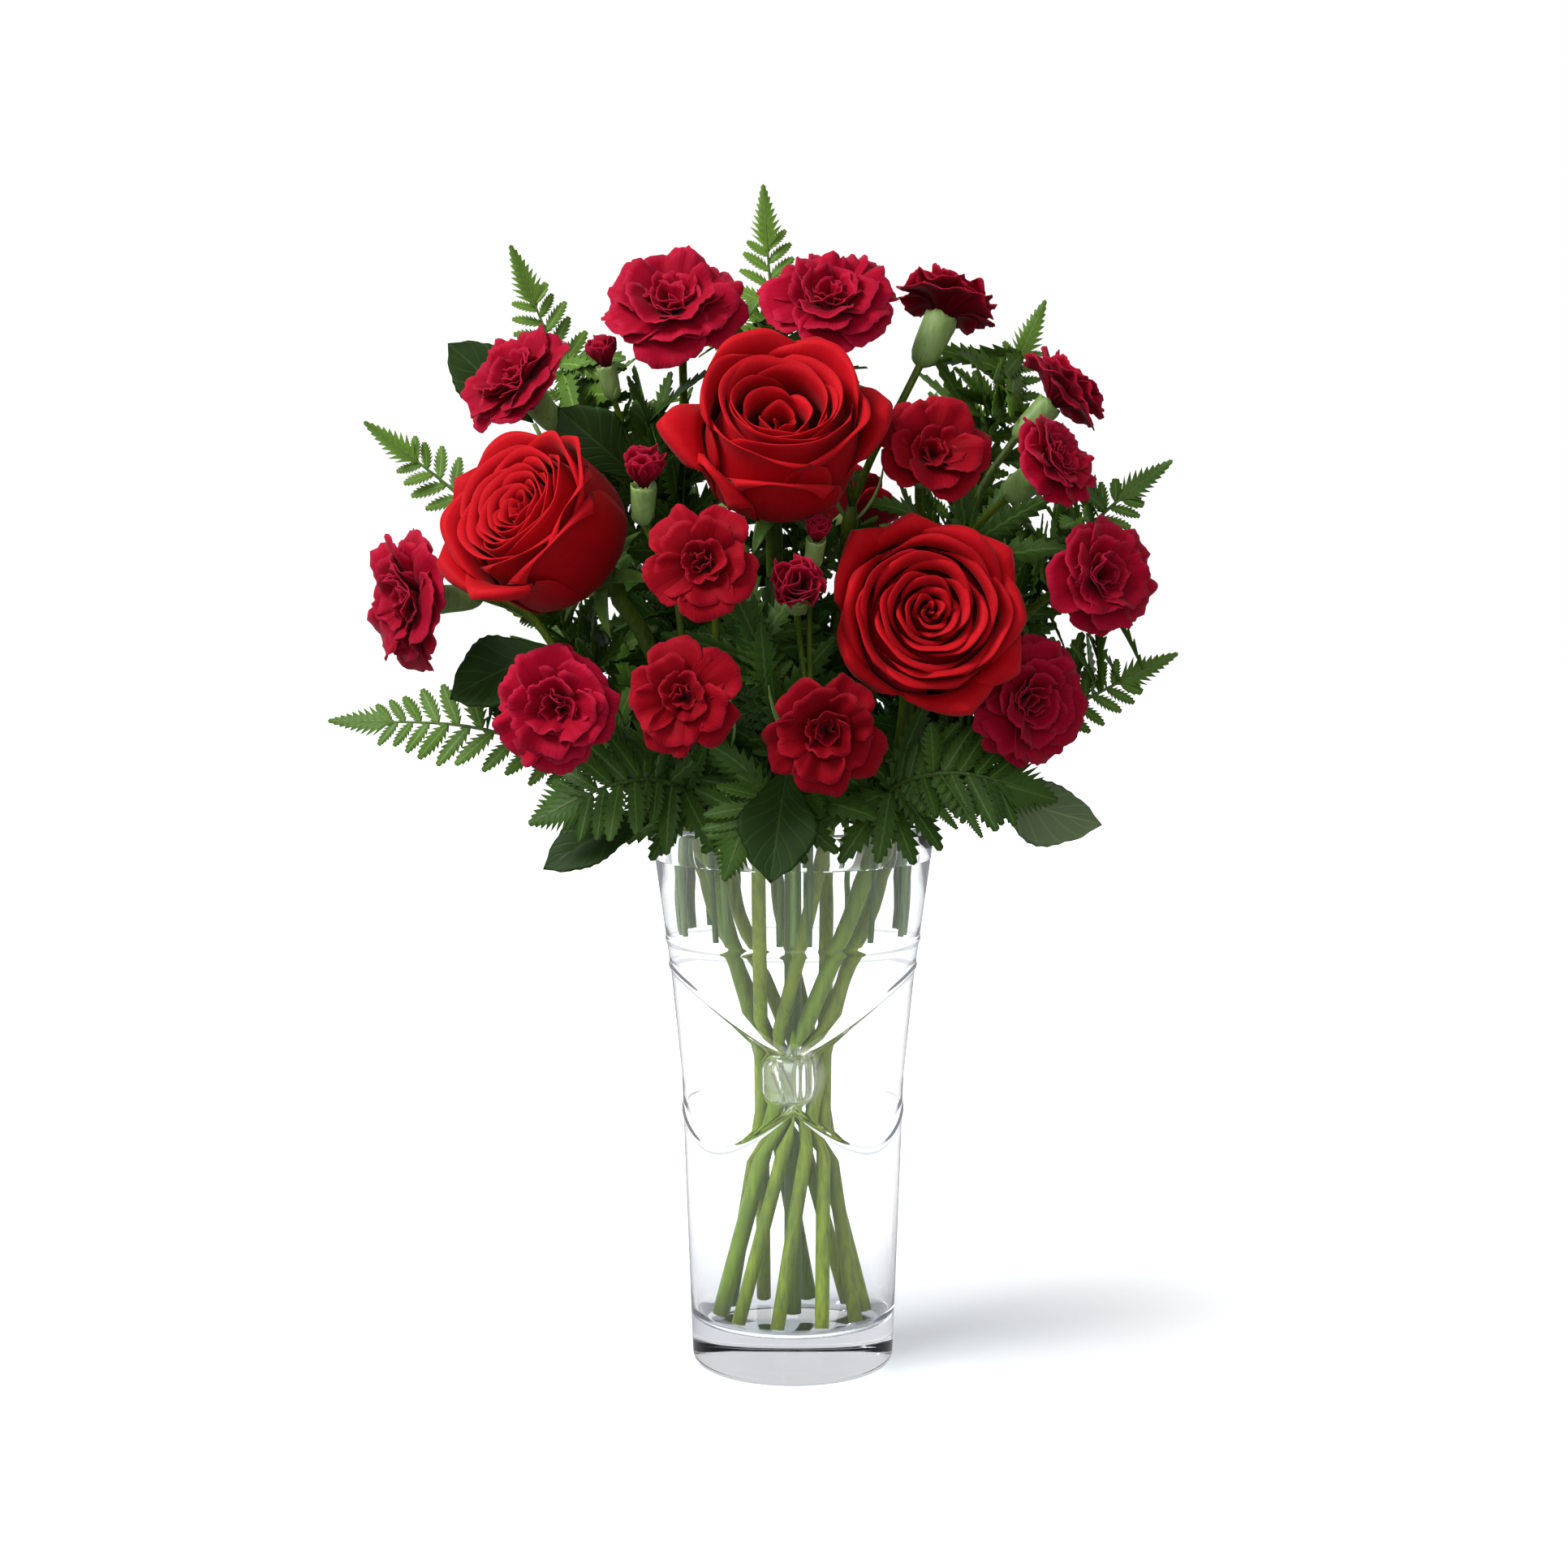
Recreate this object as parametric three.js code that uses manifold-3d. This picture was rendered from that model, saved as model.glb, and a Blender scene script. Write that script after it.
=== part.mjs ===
// A vase of red spray carnations with three roses, fern fronds and broad leaves, in millimetres.
// The origin is the middle of the vase's flat foot, +Z is up and -Y is the front of the bunch.
import * as THREE from "three";
import { mergeVertices } from "three/addons/utils/BufferGeometryUtils.js";
import Module from "manifold-3d";

const wasm = await Module();
wasm.setup();

// Vase: a flared glass cylinder with a thick bottom
const VASE_HEIGHT = 203;
const FLOOR_HEIGHT = 17;
const FOOT_RADIUS = 34.2;
const ROUND_SEGMENTS = 28;
// Outer radius of the glass at a few heights, from the foot to the mouth
const OUTER_WALL = [
  [37.4, 4],
  [40, 72],
  [41.2, 108],
  [45, 146],
  [52.6, 201.5],
];
const WALL_THICK_LOW = 4.2;
const WALL_THICK_HIGH = 3.2;
const FLOOR_CORNER = 5;

// Moulded sash: a plain ring, an upper and a lower edge bead, and a knot at the front
const BEAD_HALF = 1.3;
const BEAD_RISE = 1.1;
const RING_HEIGHT = 160;
const SASH_TOP = { front: 121, back: 150, backDegrees: 85, bow: 1.15 };
const SASH_LOW = { front: 103, dip: 86, back: 97, dipDegrees: 46, backDegrees: 96 };
const KNOT = { height: 114.5, width: 9.5, tall: 9, thick: 5, around: 10, rings: 7 };

// Water, and the gap left between one piece and the next
const WATER_LEVEL = 190;
const GAP = 0.32;

// Stems cross in a spiral, closest together at the waist height
const WAIST_HEIGHT = 108;
const WAIST_RADIUS = 11;
const FOOT_SPREAD = 26;
const MOUTH_SPREAD = 40;
const ROSE_STEM_RADIUS = 3;
const SPRAY_STEM_RADIUS = 2.5;
const BRANCH_RADIUS = 1.5;
const STALK_RADIUS = 1.1;
const STEM_SIDES = 5;
const STALK_SIDES = 3;
const STEM_LIFT = 1.5;
const STEM_SOCKET = 5;
// Stalks of the greenery stand close to the wall, from just below the water's surface
const GREEN_SPREAD = 43.5;
const GREEN_FOOT = 162;
const GREEN_LEAN = 4;
const RIM_CLEARANCE = 3;

// Calyx and petal core of a carnation, and how deep each kind of head is from face to base
const CALYX = { long: 17, wide: 5, shoulder: 0.72 };
const CORE_RADIUS = 3.4;
const HUB_SIDES = 4;
const ROSE_DEPTH = 43;
const CARNATION_DEPTH = 0.5;
const BUD_DEPTH = 0.95;

// Petal layers, outermost first, as shares of the head's radius; roots are heights on the core
const BLOOM_LAYERS = [
  { count: 5, teeth: 4, reach: 1, rise: 0.2, root: 2, wave: 0.08, lag: 0 },
  { count: 4, teeth: 4, reach: 0.8, rise: 0.52, root: 4, wave: 0.08, lag: 0.4 },
  { count: 3, teeth: 3, reach: 0.5, rise: 0.72, root: 6, wave: 0.06, lag: 0.7 },
];
const BLOOM_TOP = 8;
const BUD_LAYERS = [
  { count: 4, teeth: 3, reach: 0.95, rise: 0.85, root: 2, wave: 0.06, lag: 0 },
  { count: 3, teeth: 3, reach: 0.5, rise: 1.15, root: 4, wave: 0.05, lag: 0.5 },
];
const BUD_TOP = 5;
// A petal's edge: how far it reaches in the notches between petals and between teeth
const NOTCH_REACH = 0.42;
const TOOTH_REACH = 0.87;
const CUP_CURVE = 1.3;

// Rose petals in whorls, outermost first: half angle, reach as a share of the radius, heights
const ROSE_WHORLS = [
  { count: 5, degrees: 45, reach: 0.86, tall: 38, root: 1.2, skew: 2.2, roll: 5 },
  { count: 4, degrees: 56, reach: 0.62, tall: 43, root: 3.4, skew: 2, roll: 3.5 },
  { count: 3, degrees: 74, reach: 0.37, tall: 45, root: 5.8, skew: 1.7, roll: 1.2 },
];
const WHORL_LAG = 0.4;
// The closed bud in a rose: [radius, height]
const ROSE_HEART = [
  [5, 0],
  [4.6, 9],
  [5.4, 34],
  [2, 43],
];
const HEART_SIDES = 6;
// The hip below a rose: [radius, depth below the base]
const HIP = [
  [ROSE_STEM_RADIUS, 11],
  [5.6, 5],
  [5, GAP],
];
// Sepals: [distance from the axis, height] at the root, in the middle and at the tip
const SEPAL = {
  count: 5,
  half: 2.4,
  rib: [
    [3.5, -3.2],
    [10, -2.6],
    [20, -7],
  ],
};

// Blades, and the way that fronds at the front and at the back turn their faces
const FACES_FRONT = [0, -0.9, 0.4];
const FACES_BACK = [0, 0.5, 0.85];
const BACK_FROM = 50;
const PETAL_THICK = 0.9;
const LEAF_THICK = 0.9;
const PINNA = { lean: 0.55, droop: 0.12, tail: 0.1, side: 0.6, ahead: 0.7, sag: 0.004 };
const LEAF_STEPS = 6;
const LEAF_ARCH = 0.08;
const LEAF_FOLD = 0.18;
const LEAF_TOOTH = 0.94;

// Colours of the pieces
const COLOURS = {
  glass: { color: 0xe8eeee, roughness: 0.05, metalness: 0, transparent: true, opacity: 0.35 },
  water: { color: 0xdfeaea, roughness: 0.05, metalness: 0, transparent: true, opacity: 0.4 },
  rose: { color: 0xb5121b, roughness: 0.55, metalness: 0 },
  carnation: { color: 0xa3102f, roughness: 0.65, metalness: 0 },
  stem: { color: 0x5d8033, roughness: 0.6, metalness: 0 },
  fern: { color: 0x3c6b2a, roughness: 0.6, metalness: 0 },
  leaf: { color: 0x2f4a1d, roughness: 0.5, metalness: 0 },
};

const TURN = Math.PI * 2;
const rad = (degrees) => (degrees * Math.PI) / 180;
const V = (x, y, z) => new THREE.Vector3(x, y, z);
const mix = THREE.MathUtils.lerp;

const bouquet = new THREE.Group();
const placed = [];

// A three.js geometry as a solid that can be joined and cut
function solidOf(geometry) {
  const bare = geometry.index ? geometry.toNonIndexed() : geometry.clone();
  bare.deleteAttribute("normal");
  bare.deleteAttribute("uv");
  const merged = mergeVertices(bare, 1e-4);
  return new wasm.Manifold(
    new wasm.Mesh({
      numProp: 3,
      vertProperties: new Float32Array(merged.attributes.position.array),
      triVerts: new Uint32Array(merged.index.array),
    }),
  );
}

function geometryOf(solid) {
  const mesh = solid.getMesh();
  const geometry = new THREE.BufferGeometry();
  geometry.setAttribute("position", new THREE.BufferAttribute(mesh.vertProperties, 3));
  geometry.setIndex(new THREE.BufferAttribute(mesh.triVerts, 1));
  const flat = geometry.toNonIndexed();
  flat.computeVertexNormals();
  return flat;
}

function join(solids) {
  return solids.reduce((whole, next) => whole.add(next));
}

// Loose scraps and sealed hollows are dropped, so that one closed body is left
function largestBody(solid) {
  const bodies = solid.decompose();
  return bodies.reduce((big, next) => (next.volume() > big.volume() ? next : big));
}

function addPiece(name, solid, look) {
  const body = largestBody(solid);
  const mesh = new THREE.Mesh(geometryOf(body), new THREE.MeshStandardMaterial(COLOURS[look]));
  mesh.name = name;
  bouquet.add(mesh);
  placed.push({ body });
}

// Whether a solid keeps its distance from every piece placed so far
function isClear(solid) {
  const least = GAP * 0.6;
  const a = solid.boundingBox();
  return placed.every(({ body }) => {
    const b = body.boundingBox();
    const apart = [0, 1, 2].some((k) => a.min[k] > b.max[k] + least || b.min[k] > a.max[k] + least);
    return apart || body.minGap(solid, GAP) >= least;
  });
}

// A closed tube through points, with a radius at each one
function tube(points, radii, sides) {
  const vertices = [];
  const faces = [];
  let normal = null;
  points.forEach((point, i) => {
    const before = points[Math.max(i - 1, 0)];
    const after = points[Math.min(i + 1, points.length - 1)];
    const tangent = after.clone().sub(before).normalize();
    if (!normal) normal = Math.abs(tangent.x) < 0.7 ? V(1, 0, 0) : V(0, 1, 0);
    normal = normal.clone().addScaledVector(tangent, -normal.dot(tangent)).normalize();
    const across = tangent.clone().cross(normal);
    for (let k = 0; k < sides; k++) {
      const angle = (k / sides) * TURN;
      const out = normal.clone().multiplyScalar(Math.cos(angle)).addScaledVector(across, Math.sin(angle));
      vertices.push(point.clone().addScaledVector(out, radii[i]));
    }
  });
  for (let i = 0; i < points.length - 1; i++) {
    for (let k = 0; k < sides; k++) {
      const a = i * sides + k;
      const b = i * sides + ((k + 1) % sides);
      faces.push([a, b, b + sides], [a, b + sides, a + sides]);
    }
  }
  const last = (points.length - 1) * sides;
  for (let k = 1; k < sides - 1; k++) {
    faces.push([0, k + 1, k], [last, last + k, last + k + 1]);
  }
  return closedGeometry(vertices, faces);
}

function closedGeometry(vertices, faces) {
  const geometry = new THREE.BufferGeometry();
  geometry.setFromPoints(vertices);
  geometry.setIndex(faces.flat());
  return geometry;
}

// A thin closed blade: a sheet of points and triangles, given the same faces above and below
function blade(points, triangles, thick) {
  const normals = points.map(() => V(0, 0, 0));
  for (const [a, b, c] of triangles) {
    const face = points[b].clone().sub(points[a]).cross(points[c].clone().sub(points[a]));
    for (const i of [a, b, c]) normals[i].add(face);
  }
  const half = thick / 2;
  const upper = points.map((p, i) => p.clone().addScaledVector(normals[i].normalize(), half));
  const lower = points.map((p, i) => p.clone().addScaledVector(normals[i], -half));
  const n = points.length;
  const faces = [];
  const edges = new Set();
  for (const [a, b, c] of triangles) {
    faces.push([a, b, c], [n + a, n + c, n + b]);
    for (const [s, t] of [
      [a, b],
      [b, c],
      [c, a],
    ])
      edges.add(s + " " + t);
  }
  for (const edge of edges) {
    const [s, t] = edge.split(" ").map(Number);
    if (!edges.has(t + " " + s)) faces.push([s, n + s, n + t], [s, n + t, t]);
  }
  return solidOf(closedGeometry([...upper, ...lower], faces));
}

// Triangles between rows of points, where rows may hold different numbers of points
function stitch(rowLengths) {
  const triangles = [];
  let start = 0;
  for (let r = 0; r < rowLengths.length - 1; r++) {
    const [n, m] = [rowLengths[r], rowLengths[r + 1]];
    const next = start + n;
    let [i, j] = [0, 0];
    while (i < n - 1 || j < m - 1) {
      if (j < m - 1 && (i === n - 1 || (j + 0.5) / (m - 1) <= (i + 0.5) / (n - 1))) {
        triangles.push([start + i, next + j, next + j + 1]);
        j++;
      } else {
        triangles.push([start + i, next + j, start + i + 1]);
        i++;
      }
    }
    start = next;
  }
  return triangles;
}

// Where a flower's own frame, with its face along +Z, lies in the bunch
function flowerFrame(base, axis) {
  const turn = new THREE.Quaternion().setFromUnitVectors(V(0, 0, 1), axis);
  return new THREE.Matrix4().compose(base, turn, V(1, 1, 1));
}

// Wall radius of the vase outside and inside
function outerRadius(height) {
  const after = OUTER_WALL.findIndex(([, z]) => z >= height);
  if (after === 0) return OUTER_WALL[0][0];
  if (after < 0) return OUTER_WALL[OUTER_WALL.length - 1][0];
  const [[r0, z0], [r1, z1]] = [OUTER_WALL[after - 1], OUTER_WALL[after]];
  return mix(r0, r1, (height - z0) / (z1 - z0));
}

function innerRadius(height) {
  return outerRadius(height) - mix(WALL_THICK_LOW, WALL_THICK_HIGH, height / VASE_HEIGHT);
}

// Heights of the sash's two edges, by the angle away from the front
function sashTop(fromFront) {
  const rise = Math.sin(Math.min(fromFront / rad(SASH_TOP.backDegrees), 1) * (Math.PI / 2));
  return mix(SASH_TOP.front, SASH_TOP.back, rise ** SASH_TOP.bow);
}

function sashLow(fromFront) {
  const [dipAngle, backAngle] = [rad(SASH_LOW.dipDegrees), rad(SASH_LOW.backDegrees)];
  if (fromFront < dipAngle) {
    return mix(SASH_LOW.front, SASH_LOW.dip, Math.sin((fromFront / dipAngle) * (Math.PI / 2)));
  }
  return mix(SASH_LOW.dip, SASH_LOW.back, THREE.MathUtils.smoothstep(fromFront, dipAngle, backAngle));
}

// A closed round form from rows that each give [radius, height] at an angle from the front
function turned(rows) {
  const vertices = [V(0, 0, rows[0](0)[1])];
  const faces = [];
  for (const row of rows) {
    for (let i = 0; i < ROUND_SEGMENTS; i++) {
      const angle = (i / ROUND_SEGMENTS) * TURN;
      const fromFront = Math.min(angle, TURN - angle);
      const [r, z] = row(fromFront);
      vertices.push(V(Math.sin(angle) * r, -Math.cos(angle) * r, z));
    }
  }
  vertices.push(V(0, 0, rows[rows.length - 1](0)[1]));
  const last = vertices.length - 1;
  const topRow = last - ROUND_SEGMENTS;
  for (let i = 0; i < ROUND_SEGMENTS; i++) {
    const j = (i + 1) % ROUND_SEGMENTS;
    faces.push([0, 1 + j, 1 + i], [last, topRow + i, topRow + j]);
    for (let row = 0; row < rows.length - 1; row++) {
      const a = 1 + row * ROUND_SEGMENTS;
      const b = a + ROUND_SEGMENTS;
      faces.push([a + i, a + j, b + j], [a + i, b + j, b + i]);
    }
  }
  return solidOf(closedGeometry(vertices, faces));
}

// Three rows of wall that make a raised bead at a height
function beadRows(heightAt) {
  return [-1, 0, 1].map((side) => (angle) => {
    const z = heightAt(angle) + side * BEAD_HALF;
    return [outerRadius(z) + (side ? 0 : BEAD_RISE), z];
  });
}

const [FOOT_EDGE, LOW_WALL, ...UPPER_WALL] = OUTER_WALL.map(([, z]) => z);
const LIP_EDGE = UPPER_WALL[UPPER_WALL.length - 1];
const outerRow = (z) => () => [outerRadius(z), z];
const innerRow = (z) => () => [innerRadius(z), z];
const INNER_HEIGHTS = [FLOOR_HEIGHT + FLOOR_CORNER, LOW_WALL, ...UPPER_WALL];
const floorEdge = () => [innerRadius(FLOOR_HEIGHT) - FLOOR_CORNER, FLOOR_HEIGHT];

function makeVase() {
  const lip = (outerRadius(VASE_HEIGHT) + innerRadius(VASE_HEIGHT)) / 2;
  const glass = turned([
    () => [FOOT_RADIUS, 0],
    outerRow(FOOT_EDGE),
    outerRow(LOW_WALL),
    ...beadRows(sashLow),
    (angle) => outerRow((sashLow(angle) + sashTop(angle)) / 2)(),
    ...beadRows(sashTop),
    ...beadRows(() => RING_HEIGHT),
    outerRow(LIP_EDGE),
    () => [lip, VASE_HEIGHT],
    ...INNER_HEIGHTS.map(innerRow).reverse(),
    floorEdge,
  ]);
  const knot = solidOf(new THREE.SphereGeometry(1, KNOT.around, KNOT.rings))
    .scale([KNOT.width, KNOT.thick, KNOT.tall])
    .translate([0, -outerRadius(KNOT.height), KNOT.height]);
  const hollow = turned([floorEdge, ...INNER_HEIGHTS.map(innerRow), innerRow(VASE_HEIGHT)]);
  addPiece("vase", glass.add(knot.subtract(hollow)), "glass");
}

// Where a stem stands in its spiral lane at a height, for the angle that it has at the mouth
function lanePoint(mouthAngle, height) {
  const up = height > WAIST_HEIGHT;
  const spread = up ? MOUTH_SPREAD : FOOT_SPREAD;
  const span = up ? VASE_HEIGHT - WAIST_HEIGHT : WAIST_HEIGHT - FLOOR_HEIGHT;
  const side = (Math.sqrt(spread ** 2 - WAIST_RADIUS ** 2) / span) * (height - WAIST_HEIGHT);
  const mouthSide = Math.sqrt(MOUTH_SPREAD ** 2 - WAIST_RADIUS ** 2);
  const angle = mouthAngle - Math.atan2(mouthSide, WAIST_RADIUS) + Math.atan2(side, WAIST_RADIUS);
  const radius = Math.hypot(WAIST_RADIUS, side);
  return V(radius * Math.cos(angle), radius * Math.sin(angle), height);
}

// Flower heads: where the middle of the face is, which way it looks, and its radius
const ROSES = {
  top: { face: [-4, -88, 349], looks: [0.06, -0.75, 0.66], radius: 33, lane: null },
  left: { face: [-92, -82, 316], looks: [-0.56, -0.66, 0.5], radius: 32, lane: 216 },
  right: { face: [46, -99, 284], looks: [0.07, -0.97, 0.17], radius: 33, lane: 324 },
};

// Each spray has one main stem, a fork above the mouth, and a branch to each bloom or bud
const SPRAYS = {
  front_left: {
    lane: 252,
    fork: [-26, -58, 238],
    heads: {
      c1: { face: [-37, -99, 254], looks: [-0.1, -0.97, 0.1], radius: 20 },
      c2: { face: [-30, -106, 299], looks: [-0.1, -0.96, 0.2], radius: 20 },
      c3: { face: [-50, -88, 331], looks: [0.05, -0.45, 0.88], radius: 9, bud: true },
    },
  },
  front_right: {
    lane: 288,
    fork: [6, -58, 236],
    heads: {
      c4: { face: [11, -98, 242], looks: [0.05, -0.98, -0.1], radius: 20.5 },
      c5: { face: [1, -97, 291], looks: [0, -0.93, 0.35], radius: 11.5, bud: true },
      c6: { face: [8, -84, 310], looks: [0.1, -0.6, 0.8], radius: 5.5, bud: true },
    },
  },
  right_low: {
    lane: 0,
    fork: [66, -18, 238],
    heads: {
      c7: { face: [82, -70, 251], looks: [0.45, -0.88, -0.08], radius: 22 },
      c8: { face: [107, -62, 294], looks: [0.55, -0.8, 0.2], radius: 20.5 },
    },
  },
  right_high: {
    lane: 36,
    fork: [56, -8, 285],
    heads: {
      c9: { face: [48, -70, 337], looks: [0.15, -0.9, 0.38], radius: 20.5 },
      c10: { face: [91, -60, 334], looks: [0.66, -0.55, 0.5], radius: 17 },
      c11: { face: [98, -16, 361], looks: [0.7, 0.05, 0.7], radius: 19 },
    },
  },
  top_right: {
    lane: 72,
    fork: [22, 12, 320],
    heads: {
      c12: { face: [13, -38, 392], looks: [0.05, -0.72, 0.69], radius: 24 },
      c13: { face: [57, -2, 394], looks: [0.4, 0.25, 0.88], radius: 19 },
    },
  },
  back: {
    lane: 108,
    fork: [-12, 46, 270],
    heads: {
      c14: { face: [-52, 66, 338], looks: [-0.5, 0.62, 0.6], radius: 21 },
      c15: { face: [22, 78, 318], looks: [0.15, 0.85, 0.5], radius: 21 },
    },
  },
  top_left: {
    lane: 144,
    fork: [-42, 10, 312],
    heads: {
      c16: { face: [-43, -30, 391], looks: [-0.1, -0.76, 0.64], radius: 25 },
      c17: { face: [-97, -44, 363], looks: [-0.5, -0.6, 0.62], radius: 21 },
      c18: { face: [-68, -24, 374], looks: [-0.2, -0.3, 0.93], radius: 7, bud: true },
    },
  },
  left_low: {
    lane: 180,
    fork: [-66, -18, 236],
    heads: {
      c19: { face: [-136, -46, 285], looks: [-0.86, -0.5, -0.05], radius: 25 },
      c20: { face: [-81, -84, 250], looks: [-0.25, -0.96, 0], radius: 21.5 },
    },
  },
};

// Fern fronds: the stalk's angle at the mouth, the points it passes, its tip, and the blade.
// The blade starts at a share of the way and has side pinnae: [share, side, length, lobes]
const FRONDS = {
  top: {
    slot: 83, path: [[2, 34, 290], [-6, 22, 370]], tip: [-11, 10, 437],
    start: 0.52, width: 15, lobes: 8, pinnae: [[0.5, 1, 42, 4]],
  },
  upper_left: {
    slot: 137, path: [[-48, 34, 280], [-80, 26, 355]], tip: [-104, 10, 415],
    start: 0.57, width: 14, lobes: 7, pinnae: [[0.58, 1, 34, 3]],
  },
  left: {
    slot: 169, path: [[-82, 12, 268], [-118, 8, 318]], tip: [-157, 0, 350],
    start: 0.6, width: 12, lobes: 6, pinnae: [[0.66, 1, 44, 4]],
  },
  lower_left: {
    slot: 191, path: [[-68, -10, 219], [-112, -14, 238]], tip: [-170, -10, 241],
    start: 0.52, width: 17, lobes: 9, pinnae: [],
  },
  front_left: {
    slot: 227, path: [[-44, -48, 221], [-62, -62, 222]], tip: [-92, -62, 208],
    start: 0.5, width: 19, lobes: 7, pinnae: [],
  },
  front: {
    slot: 263, path: [[-8, -56, 218], [-12, -72, 218]], tip: [-24, -78, 190],
    start: 0.5, width: 13, lobes: 6, pinnae: [],
  },
  front_right: {
    slot: 313, path: [[36, -48, 220], [58, -64, 226]], tip: [92, -60, 216],
    start: 0.5, width: 17, lobes: 7, pinnae: [[0.56, 1, 32, 3], [0.68, 1, 30, 3]],
  },
  right: {
    slot: 349, path: [[78, -8, 232], [108, -16, 250]], tip: [139, -20, 266],
    start: 0.55, width: 15, lobes: 7, pinnae: [],
  },
  upper_right: {
    slot: 11, path: [[78, 12, 268], [112, 8, 314]], tip: [139, 0, 336],
    start: 0.52, width: 12, lobes: 7, pinnae: [[0.6, -1, 34, 3]],
  },
  top_right: {
    slot: 47, path: [[46, 34, 280], [72, 24, 345]], tip: [93, 10, 395],
    start: 0.54, width: 14, lobes: 7, pinnae: [[0.56, 1, 34, 3]],
  },
  mid_left: {
    slot: 173, path: [[-38, 4, 246], [-40, 2, 310]], tip: [-60, -10, 366],
    start: 0.5, width: 14, lobes: 6, pinnae: [],
  },
  mid_right: {
    slot: 19, path: [[54, 2, 246], [62, -12, 282]], tip: [64, -34, 316],
    start: 0.5, width: 14, lobes: 5, pinnae: [],
  },
  mid_front: {
    slot: 278, path: [[-4, -48, 228], [-10, -62, 256]], tip: [-14, -74, 288],
    start: 0.5, width: 13, lobes: 5, pinnae: [],
  },
  back_left: {
    slot: 155, path: [[-52, 44, 236], [-78, 66, 262]], tip: [-112, 78, 282],
    start: 0.48, width: 18, lobes: 7, pinnae: [[0.5, 1, 36, 2]],
  },
  back: {
    slot: 97, path: [[-4, 62, 228], [-6, 84, 244]], tip: [-14, 112, 244],
    start: 0.42, width: 19, lobes: 8, pinnae: [],
  },
  back_right: {
    slot: 25, path: [[58, 42, 240], [82, 62, 272]], tip: [106, 72, 312],
    start: 0.48, width: 18, lobes: 7, pinnae: [[0.5, 1, 36, 3]],
  },
};

// Broad leaves: as the fronds, with the leaf's own base, its width and the way its top faces
const LEAVES = {
  upper_left: {
    slot: 151, path: [[-46, 22, 260]], base: [-54, -40, 328], tip: [-82, -50, 352],
    width: 12, faces: [0.3, -0.9, -0.3],
  },
  far_left: {
    slot: 162, path: [[-62, 24, 280]], base: [-96, 14, 350], tip: [-127, 8, 379],
    width: 12, faces: [0, -1, 0.2],
  },
  mid_left: {
    slot: 198, path: [[-58, -16, 226]], base: [-80, -36, 268], tip: [-122, -36, 250],
    width: 15, faces: [0, -0.8, 0.6],
  },
  low_left: {
    slot: 234, path: [[-38, -40, 212]], base: [-46, -46, 211], tip: [-88, -52, 191],
    width: 11, faces: [0, -0.8, 0.6],
  },
  front: {
    slot: 270, path: [[0, -50, 222]], base: [-2, -62, 229], tip: [-8, -86, 190],
    width: 14, faces: [0, -0.95, 0.3],
  },
  low_right: {
    slot: 342, path: [[52, -20, 214]], base: [64, -26, 222], tip: [112, -22, 204],
    width: 14, faces: [0.1, 0.8, -0.6],
  },
  back_left: {
    slot: 119, path: [[-30, 48, 214]], base: [-38, 60, 219], tip: [-62, 92, 203],
    width: 15, faces: [-0.2, 0.4, 0.9],
  },
  back_right: {
    slot: 61, path: [[30, 50, 214]], base: [38, 60, 220], tip: [66, 88, 206],
    width: 15, faces: [0.2, 0.4, 0.9],
  },
};

const toVector = (list) => V(...list);
const direction = (list) => V(...list).normalize();

// A route is a list of points to pass, of which the middle ones may be pushed aside
const routes = [];
const BEND_HANDLE = 0.35;
const BEND_STOPS = [0.35, 0.7];

function addRoute(family, points, radius, fixedStart) {
  const route = { family, points, radius, fixedStart };
  routes.push(route);
  return route;
}

// Straight from the foot to the waist, and straight again to the mouth
const LANE_HEIGHTS = [FLOOR_HEIGHT + STEM_LIFT, WAIST_HEIGHT, VASE_HEIGHT];

function lanePoints(mouthDegrees) {
  if (mouthDegrees === null) return LANE_HEIGHTS.map((z) => V(0, 0, z));
  return LANE_HEIGHTS.map((z) => lanePoint(rad(mouthDegrees), z));
}

// Two points on the way between places that are left and reached along given directions
function bendTo(from, leave, to, arrive) {
  const handle = from.distanceTo(to) * BEND_HANDLE;
  const out = from.clone().addScaledVector(leave, handle);
  const back = to.clone().addScaledVector(arrive, -handle);
  const curve = new THREE.CubicBezierCurve3(from, out, back, to);
  return BEND_STOPS.map((t) => curve.getPoint(t));
}

function mainRoute(family, lane, end, arrive, radius) {
  const inside = lanePoints(lane);
  const mouth = inside[inside.length - 1];
  const leave = mouth.clone().sub(inside[inside.length - 2]).normalize();
  const points = [...inside, ...bendTo(mouth, leave, end, arrive), end];
  return addRoute(family, points, radius, inside.length);
}

// Heads as flattened balls that stems keep clear of
const heads = [];

for (const [name, rose] of Object.entries(ROSES)) {
  rose.axis = direction(rose.looks);
  rose.base = toVector(rose.face).addScaledVector(rose.axis, -ROSE_DEPTH);
  const middle = rose.base.clone().addScaledVector(rose.axis, ROSE_DEPTH * 0.55);
  heads.push({ family: name, middle, axis: rose.axis, wide: rose.radius + 1, deep: ROSE_DEPTH * 0.58 });
  rose.route = mainRoute(name, rose.lane, rose.base, rose.axis, ROSE_STEM_RADIUS);
}

// Small heads sit on smaller calyces
const calyxScale = (radius) => Math.min(1, 0.55 + radius / 45);

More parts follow.
